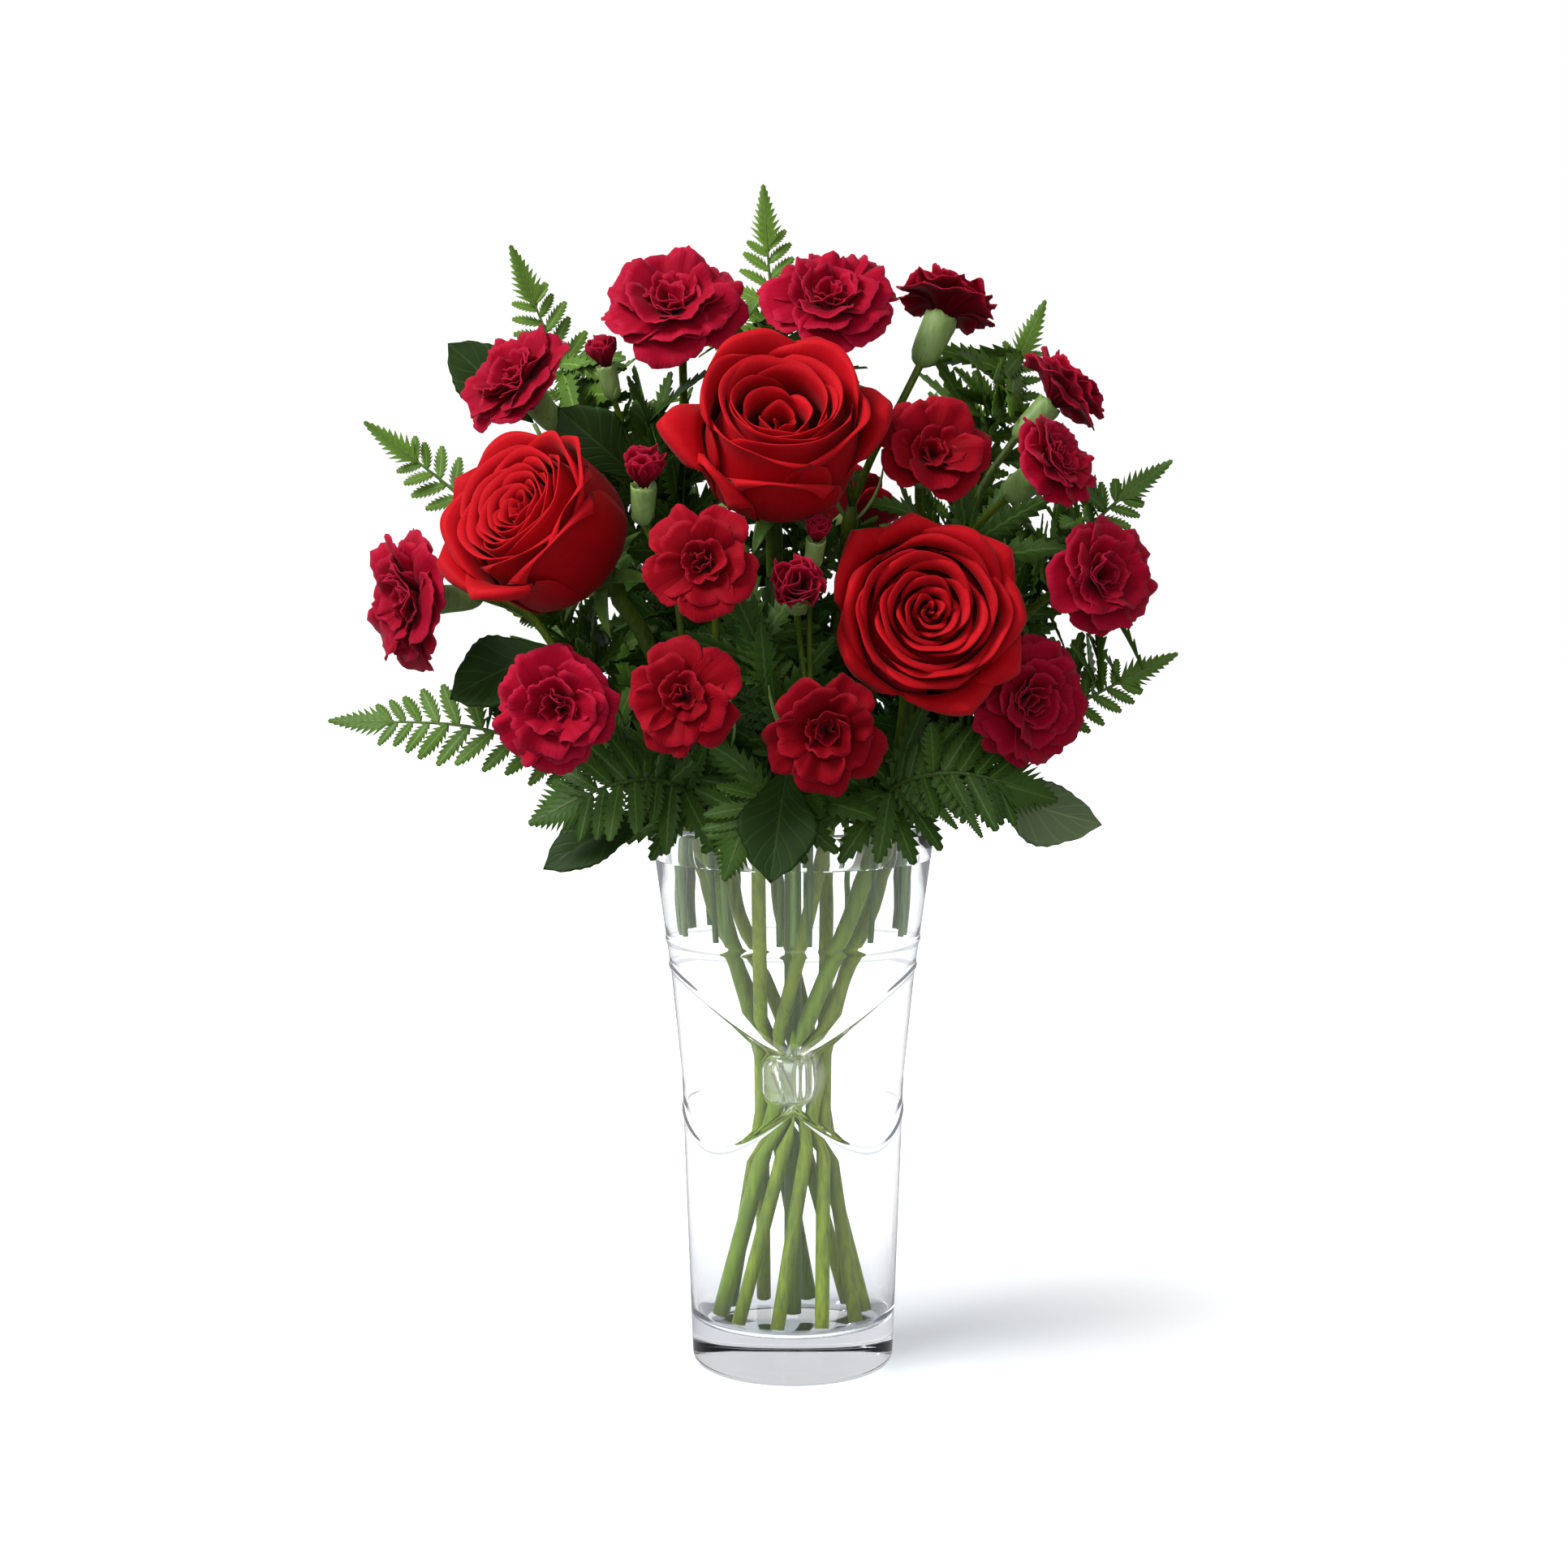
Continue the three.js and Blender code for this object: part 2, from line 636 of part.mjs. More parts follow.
for (const [name, spray] of Object.entries(SPRAYS)) {
  const fork = toVector(spray.fork);
  const aim = V(0, 0, 0);
  for (const head of Object.values(spray.heads)) {
    head.axis = direction(head.looks);
    const depth = head.radius * (head.bud ? BUD_DEPTH : CARNATION_DEPTH);
    head.base = toVector(head.face).addScaledVector(head.axis, -depth);
    head.long = CALYX.long * calyxScale(head.radius);
    head.wide = CALYX.wide * calyxScale(head.radius);
    head.neck = head.base.clone().addScaledVector(head.axis, -head.long);
    const middle = head.base.clone().addScaledVector(head.axis, head.radius * 0.35);
    const deep = head.radius * 0.55;
    heads.push({ family: name, middle, axis: head.axis, wide: head.radius, deep });
    const calyx = head.base.clone().lerp(head.neck, 0.5);
    heads.push({ family: name, middle: calyx, axis: head.axis, wide: head.wide, deep: head.long / 2 });
    aim.add(head.neck.clone().sub(fork).normalize());
  }
  spray.route = mainRoute(name, spray.lane, fork, aim.normalize(), SPRAY_STEM_RADIUS);
  for (const head of Object.values(spray.heads)) {
    const leave = head.neck.clone().sub(fork).normalize().add(aim).normalize();
    const points = [fork.clone(), ...bendTo(fork, leave, head.neck, head.axis), head.neck];
    head.route = addRoute(name, points, BRANCH_RADIUS, 1);
  }
}

const around = (radius, angle, z) => V(radius * Math.cos(angle), radius * Math.sin(angle), z);

function greenRoute(name, green, end) {
  const angle = rad(green.slot);
  const foot = around(GREEN_SPREAD - GREEN_LEAN, angle, GREEN_FOOT);
  const rim = around(GREEN_SPREAD, angle, VASE_HEIGHT + RIM_CLEARANCE);
  const points = [foot, rim, ...green.path.map(toVector), end];
  return addRoute(name, points, STALK_RADIUS, 2);
}

for (const [name, frond] of Object.entries(FRONDS)) {
  frond.route = greenRoute("frond " + name, frond, toVector(frond.tip));
}
for (const [name, leaf] of Object.entries(LEAVES)) {
  leaf.route = greenRoute("leaf " + name, leaf, toVector(leaf.base));
}

const SAMPLES = 28;
const ROUNDS = 80;
const ELBOW_ROOM = 1.2;
const PUSH_OUT = 4;

function curveOf(route) {
  return new THREE.CatmullRomCurve3(route.points, false, "centripetal");
}

// Moves the free points beside a place on a route
function nudge(route, t, push) {
  const at = t * (route.points.length - 1);
  const low = Math.floor(at);
  for (const [i, weight] of [
    [low, 1 - (at - low)],
    [low + 1, at - low],
  ]) {
    const free = i >= route.fixedStart && i < route.points.length - 1;
    if (free) route.points[i].addScaledVector(push, weight);
  }
}

// Pushes routes apart from each other and from the heads, a little at a time
function settleRoutes() {
  for (let round = 0; round < ROUNDS; round++) {
    const lines = routes.map((route) => curveOf(route).getPoints(SAMPLES));
    for (let a = 0; a < routes.length; a++) {
      for (let b = a + 1; b < routes.length; b++) {
        if (routes[a].family !== routes[b].family) pushApart(routes[a], lines[a], routes[b], lines[b]);
      }
      for (const head of heads) {
        if (head.family !== routes[a].family) pushOut(routes[a], lines[a], head);
      }
    }
  }
}

function pushApart(first, firstLine, second, secondLine) {
  const need = first.radius + second.radius + ELBOW_ROOM;
  for (let i = 1; i <= SAMPLES; i++) {
    for (let j = 1; j <= SAMPLES; j++) {
      const between = firstLine[i].clone().sub(secondLine[j]);
      const gap = between.length();
      if (gap >= need || gap < 1e-6) continue;
      const push = between.multiplyScalar((need - gap) / gap / 2);
      nudge(first, i / SAMPLES, push);
      nudge(second, j / SAMPLES, push.clone().negate());
    }
  }
}

function pushOut(route, line, head) {
  const margin = route.radius + ELBOW_ROOM;
  for (let i = 1; i <= SAMPLES; i++) {
    const away = line[i].clone().sub(head.middle);
    const along = away.dot(head.axis);
    const across = away.clone().addScaledVector(head.axis, -along);
    const inside = Math.hypot(along / (head.deep + margin), across.length() / (head.wide + margin));
    if (inside < 1) nudge(route, i / SAMPLES, away.normalize().multiplyScalar((1 - inside) * PUSH_OUT));
  }
}

settleRoutes();

// Sampled points of a route between two places along it
function along(route, from, to, count) {
  const curve = curveOf(route);
  return Array.from({ length: count + 1 }, (_, i) => curve.getPoint(mix(from, to, i / count)));
}

// The stretch in the vase keeps its own points, and the rest is sampled
function stemPoints(route, count) {
  const n = route.points.length - 1;
  const mouth = (route.fixedStart - 1) / n;
  return [...route.points.slice(0, route.fixedStart - 1), ...along(route, mouth, 1, count)];
}

const sidesOf = (route) => (route.radius > 2 ? STEM_SIDES : STALK_SIDES);

function makeWater() {
  const radius = (z) => innerRadius(z) - GAP;
  const heights = [FLOOR_HEIGHT + FLOOR_CORNER + GAP, LOW_WALL, ...UPPER_WALL.slice(0, -1), WATER_LEVEL];
  const full = turned([
    () => [floorEdge()[0] - GAP, FLOOR_HEIGHT + GAP],
    ...heights.map((z) => () => [radius(z), z]),
  ]);
  const holes = routes
    .filter((route) => route.points[0].z < WATER_LEVEL)
    .map((route) => {
      const [foot, ...rest] = route.points.slice(0, route.fixedStart);
      const down = foot.clone().sub(rest[0]).normalize();
      const stands = route.family in ROSES || route.family in SPRAYS;
      const low = foot.clone().addScaledVector(down, stands ? STEM_SOCKET : GAP);
      const points = [low, ...rest];
      const sides = sidesOf(route);
      const radius = route.radius + GAP / Math.cos(Math.PI / sides);
      return solidOf(tube(points, points.map(() => radius), sides));
    });
  addPiece("water", full.subtract(join(holes)), "water");
}

// Points across a petal, from its left edge at -1 to its right edge at 1
function petalRow(count, at) {
  return Array.from({ length: count }, (_, i) => at(mix(-1, 1, i / (count - 1)), i));
}

// The outline of a layer of petals: a deep notch between petals, then a toothed and waved edge
function layerOutline({ count, teeth, reach, rise, root, wave, lag }) {
  const points = [];
  for (let k = 0; k < count; k++) {
    for (let i = 0; i <= teeth; i++) {
      const turn = ((k + (i + (i ? -0.5 : 0)) / teeth + lag) / count) * TURN;
      const far = i === 0 ? NOTCH_REACH : i % 2 ? 1 : TOOTH_REACH;
      const height = mix(root, rise, far ** CUP_CURVE) + (i ? wave * Math.sin(i * 2.1 + k * 1.3) : 0);
      points.push(around(reach * far, turn, height));
    }
  }
  return points;
}

// Layers of petals round one core, as a single closed surface
function ruffledHead(radius, shares, coreTop) {
  const layers = shares.map((layer) => ({
    ...layer,
    reach: layer.reach * radius,
    rise: layer.rise * radius,
    wave: layer.wave * radius,
  }));
  const hub = HUB_SIDES;
  const vertices = [];
  const faces = [];
  const addRing = (points) => points.map((p) => vertices.push(p) - 1);
  const hubRing = (z, r) => addRing(Array.from({ length: hub }, (_, i) => around(r, (i / hub) * TURN, z)));
  const band = (low, high) => {
    let [i, j] = [0, 0];
    while (i < low.length || j < high.length) {
      const a = low[i % low.length];
      const b = high[j % high.length];
      if (j * low.length <= i * high.length && j < high.length) {
        faces.push([a, high[(j + 1) % high.length], b]);
        j++;
      } else {
        faces.push([a, low[(i + 1) % low.length], b]);
        i++;
      }
    }
  };
  let ring = hubRing(0, CORE_RADIUS);
  for (let i = 1; i < hub - 1; i++) faces.push([ring[0], ring[i + 1], ring[i]]);
  for (const layer of layers) {
    const outline = layerOutline(layer);
    const drop = V(0, 0, -PETAL_THICK);
    const below = hubRing(layer.root - PETAL_THICK, CORE_RADIUS);
    band(ring, below);
    const lower = addRing(outline.map((p) => p.clone().add(drop)));
    band(below, lower);
    const upper = addRing(outline);
    band(lower, upper);
    ring = hubRing(layer.root, CORE_RADIUS * 0.8);
    band(upper, ring);
  }
  const top = hubRing(coreTop, CORE_RADIUS * 0.5);
  band(ring, top);
  for (let i = 1; i < hub - 1; i++) faces.push([top[0], top[i], top[i + 1]]);
  return solidOf(closedGeometry(vertices, faces));
}

const carnation = (radius) => ruffledHead(radius, BLOOM_LAYERS, BLOOM_TOP);
const carnationBud = (radius) => ruffledHead(radius, BUD_LAYERS, BUD_TOP);

// A cupped rose petal whose one side lies outside its neighbour and whose lip rolls back
function rosePetal({ turn, degrees, reach, tall, root, skew, roll }) {
  const spread = rad(degrees);
  const at = (u, share, radius, z) => around(radius + u * skew * share, turn + u * spread * share, z);
  const lip = (u) => reach + roll * (1 - u * u * 0.6);
  const rows = [
    petalRow(2, (u) => at(u, 0.25, 2.4, root)),
    petalRow(3, (u) => at(u, 0.7, reach * 0.7, mix(root, tall, 0.2))),
    petalRow(4, (u) => at(u, 1, reach, mix(root, tall, 0.72))),
    petalRow(5, (u) => at(u, 0.86, lip(u), tall - roll * 0.7 - u * u * 3)),
  ];
  return blade(rows.flat(), stitch(rows.map((row) => row.length)), PETAL_THICK);
}

function rose(radius) {
  const petals = ROSE_WHORLS.flatMap((whorl, k) =>
    Array.from({ length: whorl.count }, (_, i) => {
      const turn = ((i + k * WHORL_LAG) / whorl.count) * TURN;
      return rosePetal({ ...whorl, turn, reach: whorl.reach * radius });
    }),
  );
  const line = ROSE_HEART.map(([, z]) => V(0, 0, z));
  const radii = ROSE_HEART.map(([r]) => r);
  return join([solidOf(tube(line, radii, HEART_SIDES)), ...petals]);
}

// Sepals that bend back under a rose, and the swollen hip that they grow from
function roseStem({ route, base, axis }) {
  const stem = stemPoints(route, 3).slice(0, -1);
  const hip = HIP.map(([, depth]) => base.clone().addScaledVector(axis, -depth));
  const radii = [...stem.map(() => ROSE_STEM_RADIUS), ...HIP.map(([r]) => r)];
  const frame = flowerFrame(base, axis);
  const sepals = Array.from({ length: SEPAL.count }, (_, i) => {
    const turn = ((i + 0.5) / SEPAL.count) * TURN;
    const side = around(SEPAL.half, turn + Math.PI / 2, 0);
    const [root, middle, tip] = SEPAL.rib.map(([r, z]) => around(r, turn, z));
    const sheet = [root, middle.clone().sub(side), middle.clone().add(side), tip];
    return blade(sheet.map((p) => p.applyMatrix4(frame)), [[0, 2, 1], [1, 2, 3]], PETAL_THICK);
  });
  return join([solidOf(tube([...stem, ...hip], radii, STEM_SIDES)), ...sepals]);
}

// A spray's main stem, with a branch and calyx to each head
function sprayStem(spray) {
  const trunk = stemPoints(spray.route, 3);
  const parts = [solidOf(tube(trunk, trunk.map(() => SPRAY_STEM_RADIUS), STEM_SIDES))];
  for (const head of Object.values(spray.heads)) {
    const steps = head.neck.distanceTo(head.route.points[0]) > 45 ? 3 : 2;
    const branch = along(head.route, 0, 1, steps);
    const at = (depth) => head.base.clone().addScaledVector(head.axis, -depth);
    const thin = BRANCH_RADIUS * calyxScale(head.radius);
    const radii = [...branch.map(() => thin), head.wide * 0.9, head.wide];
    parts.push(solidOf(tube([...branch, at(head.long * CALYX.shoulder), at(GAP)], radii, STEM_SIDES)));
  }
  return join(parts);
}

// A lobed blade along a line of points: leaflets alternate and are cut nearly to the rib
function lobedBlade(rib, faces, width) {
  const last = rib.length - 1;
  const sides = rib.map((_, i) => {
    const forward = rib[Math.min(i + 1, last)].clone().sub(rib[Math.max(i - 1, 0)]).normalize();
    return { forward, side: forward.clone().cross(faces).normalize() };
  });
  const points = rib.map((p) => p.clone());
  const triangles = [];
  for (const [hand, first] of [
    [1, 0],
    [-1, 1],
  ]) {
    for (let i = first; i + 2 <= last; i += 2) {
      const share = (i + 1) / last;
      const long = width * Math.min(1, (1 - share) * 1.5 + PINNA.tail, 0.6 + share * 2);
      const tip = rib[i + 1].clone().addScaledVector(sides[i + 1].side, hand * long);
      tip.addScaledVector(sides[i + 1].forward, long * PINNA.lean);
      tip.addScaledVector(faces, -long * PINNA.droop);
      const t = points.push(tip) - 1;
      if (hand > 0) triangles.push([i, t, i + 1], [i + 1, t, i + 2]);
      else triangles.push([i, i + 1, t], [i + 1, i + 2, t]);
    }
  }
  return blade(points, triangles, LEAF_THICK);
}

// Turns of a blade about its rib, and its widths, that are tried until it crosses nothing
const TILTS = [0, 20, -20, 40, -40, 60, -60];
const WIDTHS = [1, 0.8, 0.6, 0.45];

function bentClear(make) {
  for (const width of WIDTHS) {
    for (const tilt of TILTS) {
      const solid = make(rad(tilt), width);
      if (isClear(solid)) return solid;
    }
  }
  return make(rad(TILTS[TILTS.length - 1]), WIDTHS[WIDTHS.length - 1]);
}

function tilted(faces, forward, tilt) {
  return faces.clone().applyAxisAngle(forward, tilt);
}

// A stalk from the water up to a share of the route
function stalkSolid(route, end) {
  const rim = 1 / (route.points.length - 1);
  const line = [route.points[0], ...along(route, rim, end, 3)];
  return solidOf(tube(line, line.map(() => STALK_RADIUS), STALK_SIDES));
}

// A stalk, a blade along the last part of the route, and side pinnae
function frondSolid(frond, tilt, thin) {
  const { route, start, lobes, pinnae } = frond;
  const isBack = frond.tip[1] > BACK_FROM;
  const rib = along(route, start, 1, lobes * 2);
  const forward = rib[rib.length - 1].clone().sub(rib[0]).normalize();
  const faces = tilted(direction(isBack ? FACES_BACK : FACES_FRONT), forward, tilt);
  const width = frond.width * thin;
  const parts = [stalkSolid(route, start + 0.03), lobedBlade(rib, faces, width)];
  const curve = curveOf(route);
  for (const [share, hand, long, few] of pinnae) {
    const from = curve.getPoint(share);
    const ahead = curve.getTangent(share);
    const out = ahead.clone().cross(faces).multiplyScalar(hand);
    out.addScaledVector(ahead, PINNA.ahead).normalize();
    const side = Array.from({ length: few * 2 + 1 }, (_, i) => {
      const reach = (i / (few * 2)) * long * mix(0.6, 1, thin);
      return from.clone().addScaledVector(out, reach).addScaledVector(faces, -PINNA.sag * reach * reach);
    });
    parts.push(lobedBlade(side, faces, width * PINNA.side));
  }
  return join(parts);
}

// Half width of a broad leaf along its length: round near the base, drawn out to the tip
function leafHalf(width, share) {
  return width * Math.sin(Math.min(share * 1.25, 1) * Math.PI * 0.5 + Math.max(0, share - 0.4) * 2.1);
}

function leafSolid(leaf, tilt, thin) {
  const base = toVector(leaf.base);
  const forward = toVector(leaf.tip).sub(base);
  const length = forward.length();
  forward.normalize();
  const faces = tilted(direction(leaf.faces), forward, tilt);
  const side = forward.clone().cross(faces).normalize();
  const up = side.clone().cross(forward).normalize();
  const points = [];
  const triangles = [];
  for (let i = 0; i <= LEAF_STEPS; i++) {
    const share = i / LEAF_STEPS;
    const lift = Math.sin(share * Math.PI) * length * LEAF_ARCH;
    points.push(base.clone().addScaledVector(forward, length * share).addScaledVector(up, lift));
  }
  const outline = (hand) => {
    const row = [];
    for (let i = 1; i < LEAF_STEPS; i++) {
      const half = leafHalf(leaf.width * thin, i / LEAF_STEPS);
      const reach = hand * half * (i % 2 ? 1 : LEAF_TOOTH);
      const p = points[i].clone().addScaledVector(side, reach).addScaledVector(up, half * LEAF_FOLD);
      row.push(points.push(p) - 1);
    }
    return row;
  };
  const [left, right] = [outline(1), outline(-1)];
  for (let i = 0; i < LEAF_STEPS; i++) {
    const [l0, l1] = [left[i - 1], left[i]];
    const [r0, r1] = [right[i - 1], right[i]];
    if (i === 0) triangles.push([0, l1, 1], [0, 1, r1]);
    else if (i === LEAF_STEPS - 1) triangles.push([i, l0, i + 1], [i, i + 1, r0]);
    else triangles.push([i, l0, l1], [i, l1, i + 1], [i, i + 1, r1], [i, r1, r0]);
  }
  return stalkSolid(leaf.route, 1).add(blade(points, triangles, LEAF_THICK));
}

makeVase();
makeWater();
for (const [name, flower] of Object.entries(ROSES)) {
  const head = rose(flower.radius).transform(flowerFrame(flower.base, flower.axis).toArray());
  addPiece("rose_" + name, head, "rose");
}
for (const spray of Object.values(SPRAYS)) {
  for (const [name, flower] of Object.entries(spray.heads)) {
    const make = flower.bud ? carnationBud : carnation;
    const head = make(flower.radius).transform(flowerFrame(flower.base, flower.axis).toArray());
    addPiece("carnation_" + name, head, "carnation");
  }
}
for (const [name, flower] of Object.entries(ROSES)) {
  addPiece("rose_stem_" + name, roseStem(flower), "stem");
}
for (const [name, spray] of Object.entries(SPRAYS)) {
  addPiece("spray_" + name, sprayStem(spray), "stem");
}
for (const [name, leaf] of Object.entries(LEAVES)) {
  addPiece("leaf_" + name, bentClear((tilt, thin) => leafSolid(leaf, tilt, thin)), "leaf");
}
for (const [name, frond] of Object.entries(FRONDS)) {
  addPiece("fern_" + name, bentClear((tilt, thin) => frondSolid(frond, tilt, thin)), "fern");
}

export default bouquet;
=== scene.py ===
"""A vase of red spray carnations with three roses, fern fronds and broad leaves, dressed for the render."""

import math
from collections import Counter

import bpy
import numpy as np
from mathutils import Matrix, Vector


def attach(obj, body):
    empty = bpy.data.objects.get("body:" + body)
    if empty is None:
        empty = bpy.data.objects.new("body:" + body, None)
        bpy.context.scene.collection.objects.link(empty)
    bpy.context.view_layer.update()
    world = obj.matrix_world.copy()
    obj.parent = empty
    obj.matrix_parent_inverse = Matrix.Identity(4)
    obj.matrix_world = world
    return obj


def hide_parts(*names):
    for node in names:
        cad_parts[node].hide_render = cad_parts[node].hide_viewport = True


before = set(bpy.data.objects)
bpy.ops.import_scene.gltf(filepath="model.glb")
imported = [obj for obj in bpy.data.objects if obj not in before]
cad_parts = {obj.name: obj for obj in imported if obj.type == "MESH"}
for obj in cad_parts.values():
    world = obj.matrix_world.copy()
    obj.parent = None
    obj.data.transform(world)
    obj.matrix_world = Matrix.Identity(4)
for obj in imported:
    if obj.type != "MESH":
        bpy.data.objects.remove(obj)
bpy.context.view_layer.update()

MM = 0.001
TURN = 2 * math.pi
CAMERA_PLACE = (-3.3 * MM, -1.0, 0.298)
CAMERA_DOWN = 4.63
CAMERA_LENS = 62.3
rng = np.random.default_rng(11)

# ---------------------------------------------------------------- sizes, in millimetres
VASE_HEIGHT = 203
FLOOR_HEIGHT = 17
FLOOR_CORNER = 5
OUTER_WALL = [(36.2, 1.2), (37.4, 4), (40, 72), (41.2, 108), (45, 146), (52.6, 201.5)]
WALL_THICK_LOW = 4.2
WALL_THICK_HIGH = 3.2
RING_HEIGHT = 160
SASH_TOP = {"front": 121, "back": 150, "backDegrees": 85, "bow": 1.15}
SASH_LOW = {"front": 103, "dip": 86, "back": 97, "dipDegrees": 46, "backDegrees": 96}
KNOT = {"height": 114.5, "width": 8.8, "tall": 8.6, "thick": 4.6}
WATER_LEVEL = 190
WAIST_HEIGHT = 108
WAIST_RADIUS = 11
FOOT_SPREAD = 26
MOUTH_SPREAD = 40
ROSE_STEM_RADIUS = 3
SPRAY_STEM_RADIUS = 2.5
BRANCH_RADIUS = 1.5
STALK_RADIUS = 1.1
STEM_LIFT = 1.5
GREEN_SPREAD = 43.5
GREEN_FOOT = 162
GREEN_LEAN = 4
RIM_CLEARANCE = 3
CALYX_LONG = 17
CALYX_WIDE = 5
ROSE_DEPTH = 43
CARNATION_DEPTH = 0.5
BUD_DEPTH = 0.95
FACES_FRONT = (0, -0.9, 0.4)
FACES_BACK = (0, 0.5, 0.85)
BACK_FROM = 50
ROSE_SIZE = 33
PETAL_THICK = 0.35
ROSE_PETAL_THICK = 0.4
FERN_THICK = 0.35
SEPAL_THICK = 0.6
BROAD_LEAF_THICK = 0.6
HIP_LONG = 13
WAIST_BEND = 0.16
BEAD_HALF = 1.85
BEAD_RISE = 1.3
# The room that pinnae fill: its middle, and how far it reaches across, in depth, up and down
BUNCH = {"x": 2, "z": 292, "across": 110, "deep": 84, "up": 98, "down": 104}
PINNA_TRIES = 14
PINNA_ROOM = 7
# how often light may be thrown about inside the glass
MOST_BOUNCES = 6.5

# Heads: the middle of the face, the way it looks and the radius, with the stem's angle at the mouth
ROSES = {
    "top": {"face": (-4, -88, 349), "looks": (0.06, -0.75, 0.66), "radius": 33, "lane": None},
    "left": {"face": (-92, -82, 316), "looks": (-0.56, -0.66, 0.5), "radius": 32, "lane": 216},
    "right": {"face": (46, -99, 284), "looks": (0.07, -0.97, 0.17), "radius": 33, "lane": 324},
}
SPRAYS = {
    "front_left": (252, (-26, -58, 238), {
        "c1": ((-37, -99, 254), (-0.1, -0.97, 0.1), 20, "cup"),
        "c2": ((-30, -106, 299), (-0.1, -0.96, 0.2), 20, "cup"),
        "c3": ((-50, -88, 331), (0.05, -0.45, 0.88), 9, "bud"),
    }),
    "front_right": (288, (6, -58, 236), {
        "c4": ((11, -98, 242), (0.05, -0.98, -0.1), 20.5, "cup"),
        "c5": ((1, -97, 291), (0, -0.93, 0.35), 11.5, "bud"),
        "c6": ((8, -84, 310), (0.1, -0.6, 0.8), 5.5, "bud"),
    }),
    "right_low": (0, (66, -18, 238), {
        "c7": ((82, -70, 251), (0.45, -0.88, -0.08), 22, "full"),
        "c8": ((107, -62, 294), (0.55, -0.8, 0.2), 20.5, "full"),
    }),
    "right_high": (36, (56, -8, 285), {
        "c9": ((48, -70, 337), (0.15, -0.9, 0.38), 20.5, "cup"),
        "c10": ((91, -60, 334), (0.66, -0.55, 0.5), 17, "full"),
        "c11": ((98, -16, 361), (0.7, 0.05, 0.7), 19, "full"),
    }),
    "top_right": (72, (22, 12, 320), {
        "c12": ((13, -38, 392), (0.05, -0.72, 0.69), 24, "full"),
        "c13": ((57, -2, 394), (0.4, 0.25, 0.88), 19, "full"),
    }),
    "back": (108, (-12, 46, 270), {
        "c14": ((-52, 66, 338), (-0.5, 0.62, 0.6), 21, "full"),
        "c15": ((22, 78, 318), (0.15, 0.85, 0.5), 21, "cup"),
    }),
    "top_left": (144, (-42, 10, 312), {
        "c16": ((-43, -30, 391), (-0.1, -0.76, 0.64), 25, "full"),
        "c17": ((-97, -44, 363), (-0.5, -0.6, 0.62), 21, "full"),
        "c18": ((-68, -24, 374), (-0.2, -0.3, 0.93), 7, "bud"),
    }),
    "left_low": (180, (-66, -18, 236), {
        "c19": ((-136, -46, 285), (-0.86, -0.5, -0.05), 25, "full"),
        "c20": ((-81, -84, 250), (-0.25, -0.96, 0), 21.5, "full"),
    }),
}
# Fronds: the stalk's angle at the mouth, points passed, tip, blade start, pinna length, side pinnae, tone,
# which is mostly painted shade: darker for fronds low, in front and inside the bunch, lighter at the top
FRONDS = {
    "top": (83, ((2, 34, 290), (-6, 22, 370)), (-11, 10, 437), 0.52, 15, ((0.5, 1, 42),), 0.9),
    "upper_left": (137, ((-48, 34, 280), (-80, 26, 355)), (-104, 10, 415), 0.57, 14, ((0.58, 1, 34),), 0.8),
    "left": (169, ((-82, 12, 268), (-118, 8, 318)), (-157, 0, 350), 0.6, 12, ((0.66, 1, 44),), 0.75),
    "lower_left": (191, ((-68, -10, 219), (-112, -14, 238)), (-170, -10, 241), 0.52, 17, (), 0.6),
    "front_left": (227, ((-44, -48, 221), (-62, -62, 222)), (-92, -62, 208), 0.5, 19, (), 0.22),
    "front": (263, ((-8, -56, 218), (-12, -72, 218)), (-24, -78, 190), 0.5, 13, (), 0.25),
    "front_right": (313, ((36, -48, 220), (58, -64, 226)), (92, -60, 216), 0.5, 17,
                    ((0.56, 1, 32), (0.68, 1, 30)), 0.22),
    "right": (349, ((78, -8, 232), (108, -16, 250)), (139, -20, 266), 0.55, 15, (), 0.55),
    "upper_right": (11, ((78, 12, 268), (112, 8, 314)), (139, 0, 336), 0.52, 12, ((0.6, -1, 34),), 0.5),
    "top_right": (47, ((46, 34, 280), (72, 24, 345)), (93, 10, 395), 0.54, 14, ((0.56, 1, 34),), 0.7),
    "mid_left": (173, ((-38, 4, 246), (-40, 2, 310)), (-60, -10, 366), 0.5, 14, (), 0.2),
    "mid_right": (19, ((54, 2, 246), (62, -12, 282)), (64, -34, 316), 0.5, 14, (), 0.2),
    "mid_front": (278, ((-4, -48, 228), (-10, -62, 256)), (-14, -74, 288), 0.5, 13, (), 0.2),
    "back_left": (155, ((-52, 44, 236), (-78, 66, 262)), (-112, 78, 282), 0.48, 18, ((0.5, 1, 36),), 0.5),
    "back": (97, ((-4, 62, 228), (-6, 84, 244)), (-14, 112, 244), 0.42, 19, (), 0.5),
    "back_right": (25, ((58, 42, 240), (82, 62, 272)), (106, 72, 312), 0.48, 18, ((0.5, 1, 36),), 0.5),
}
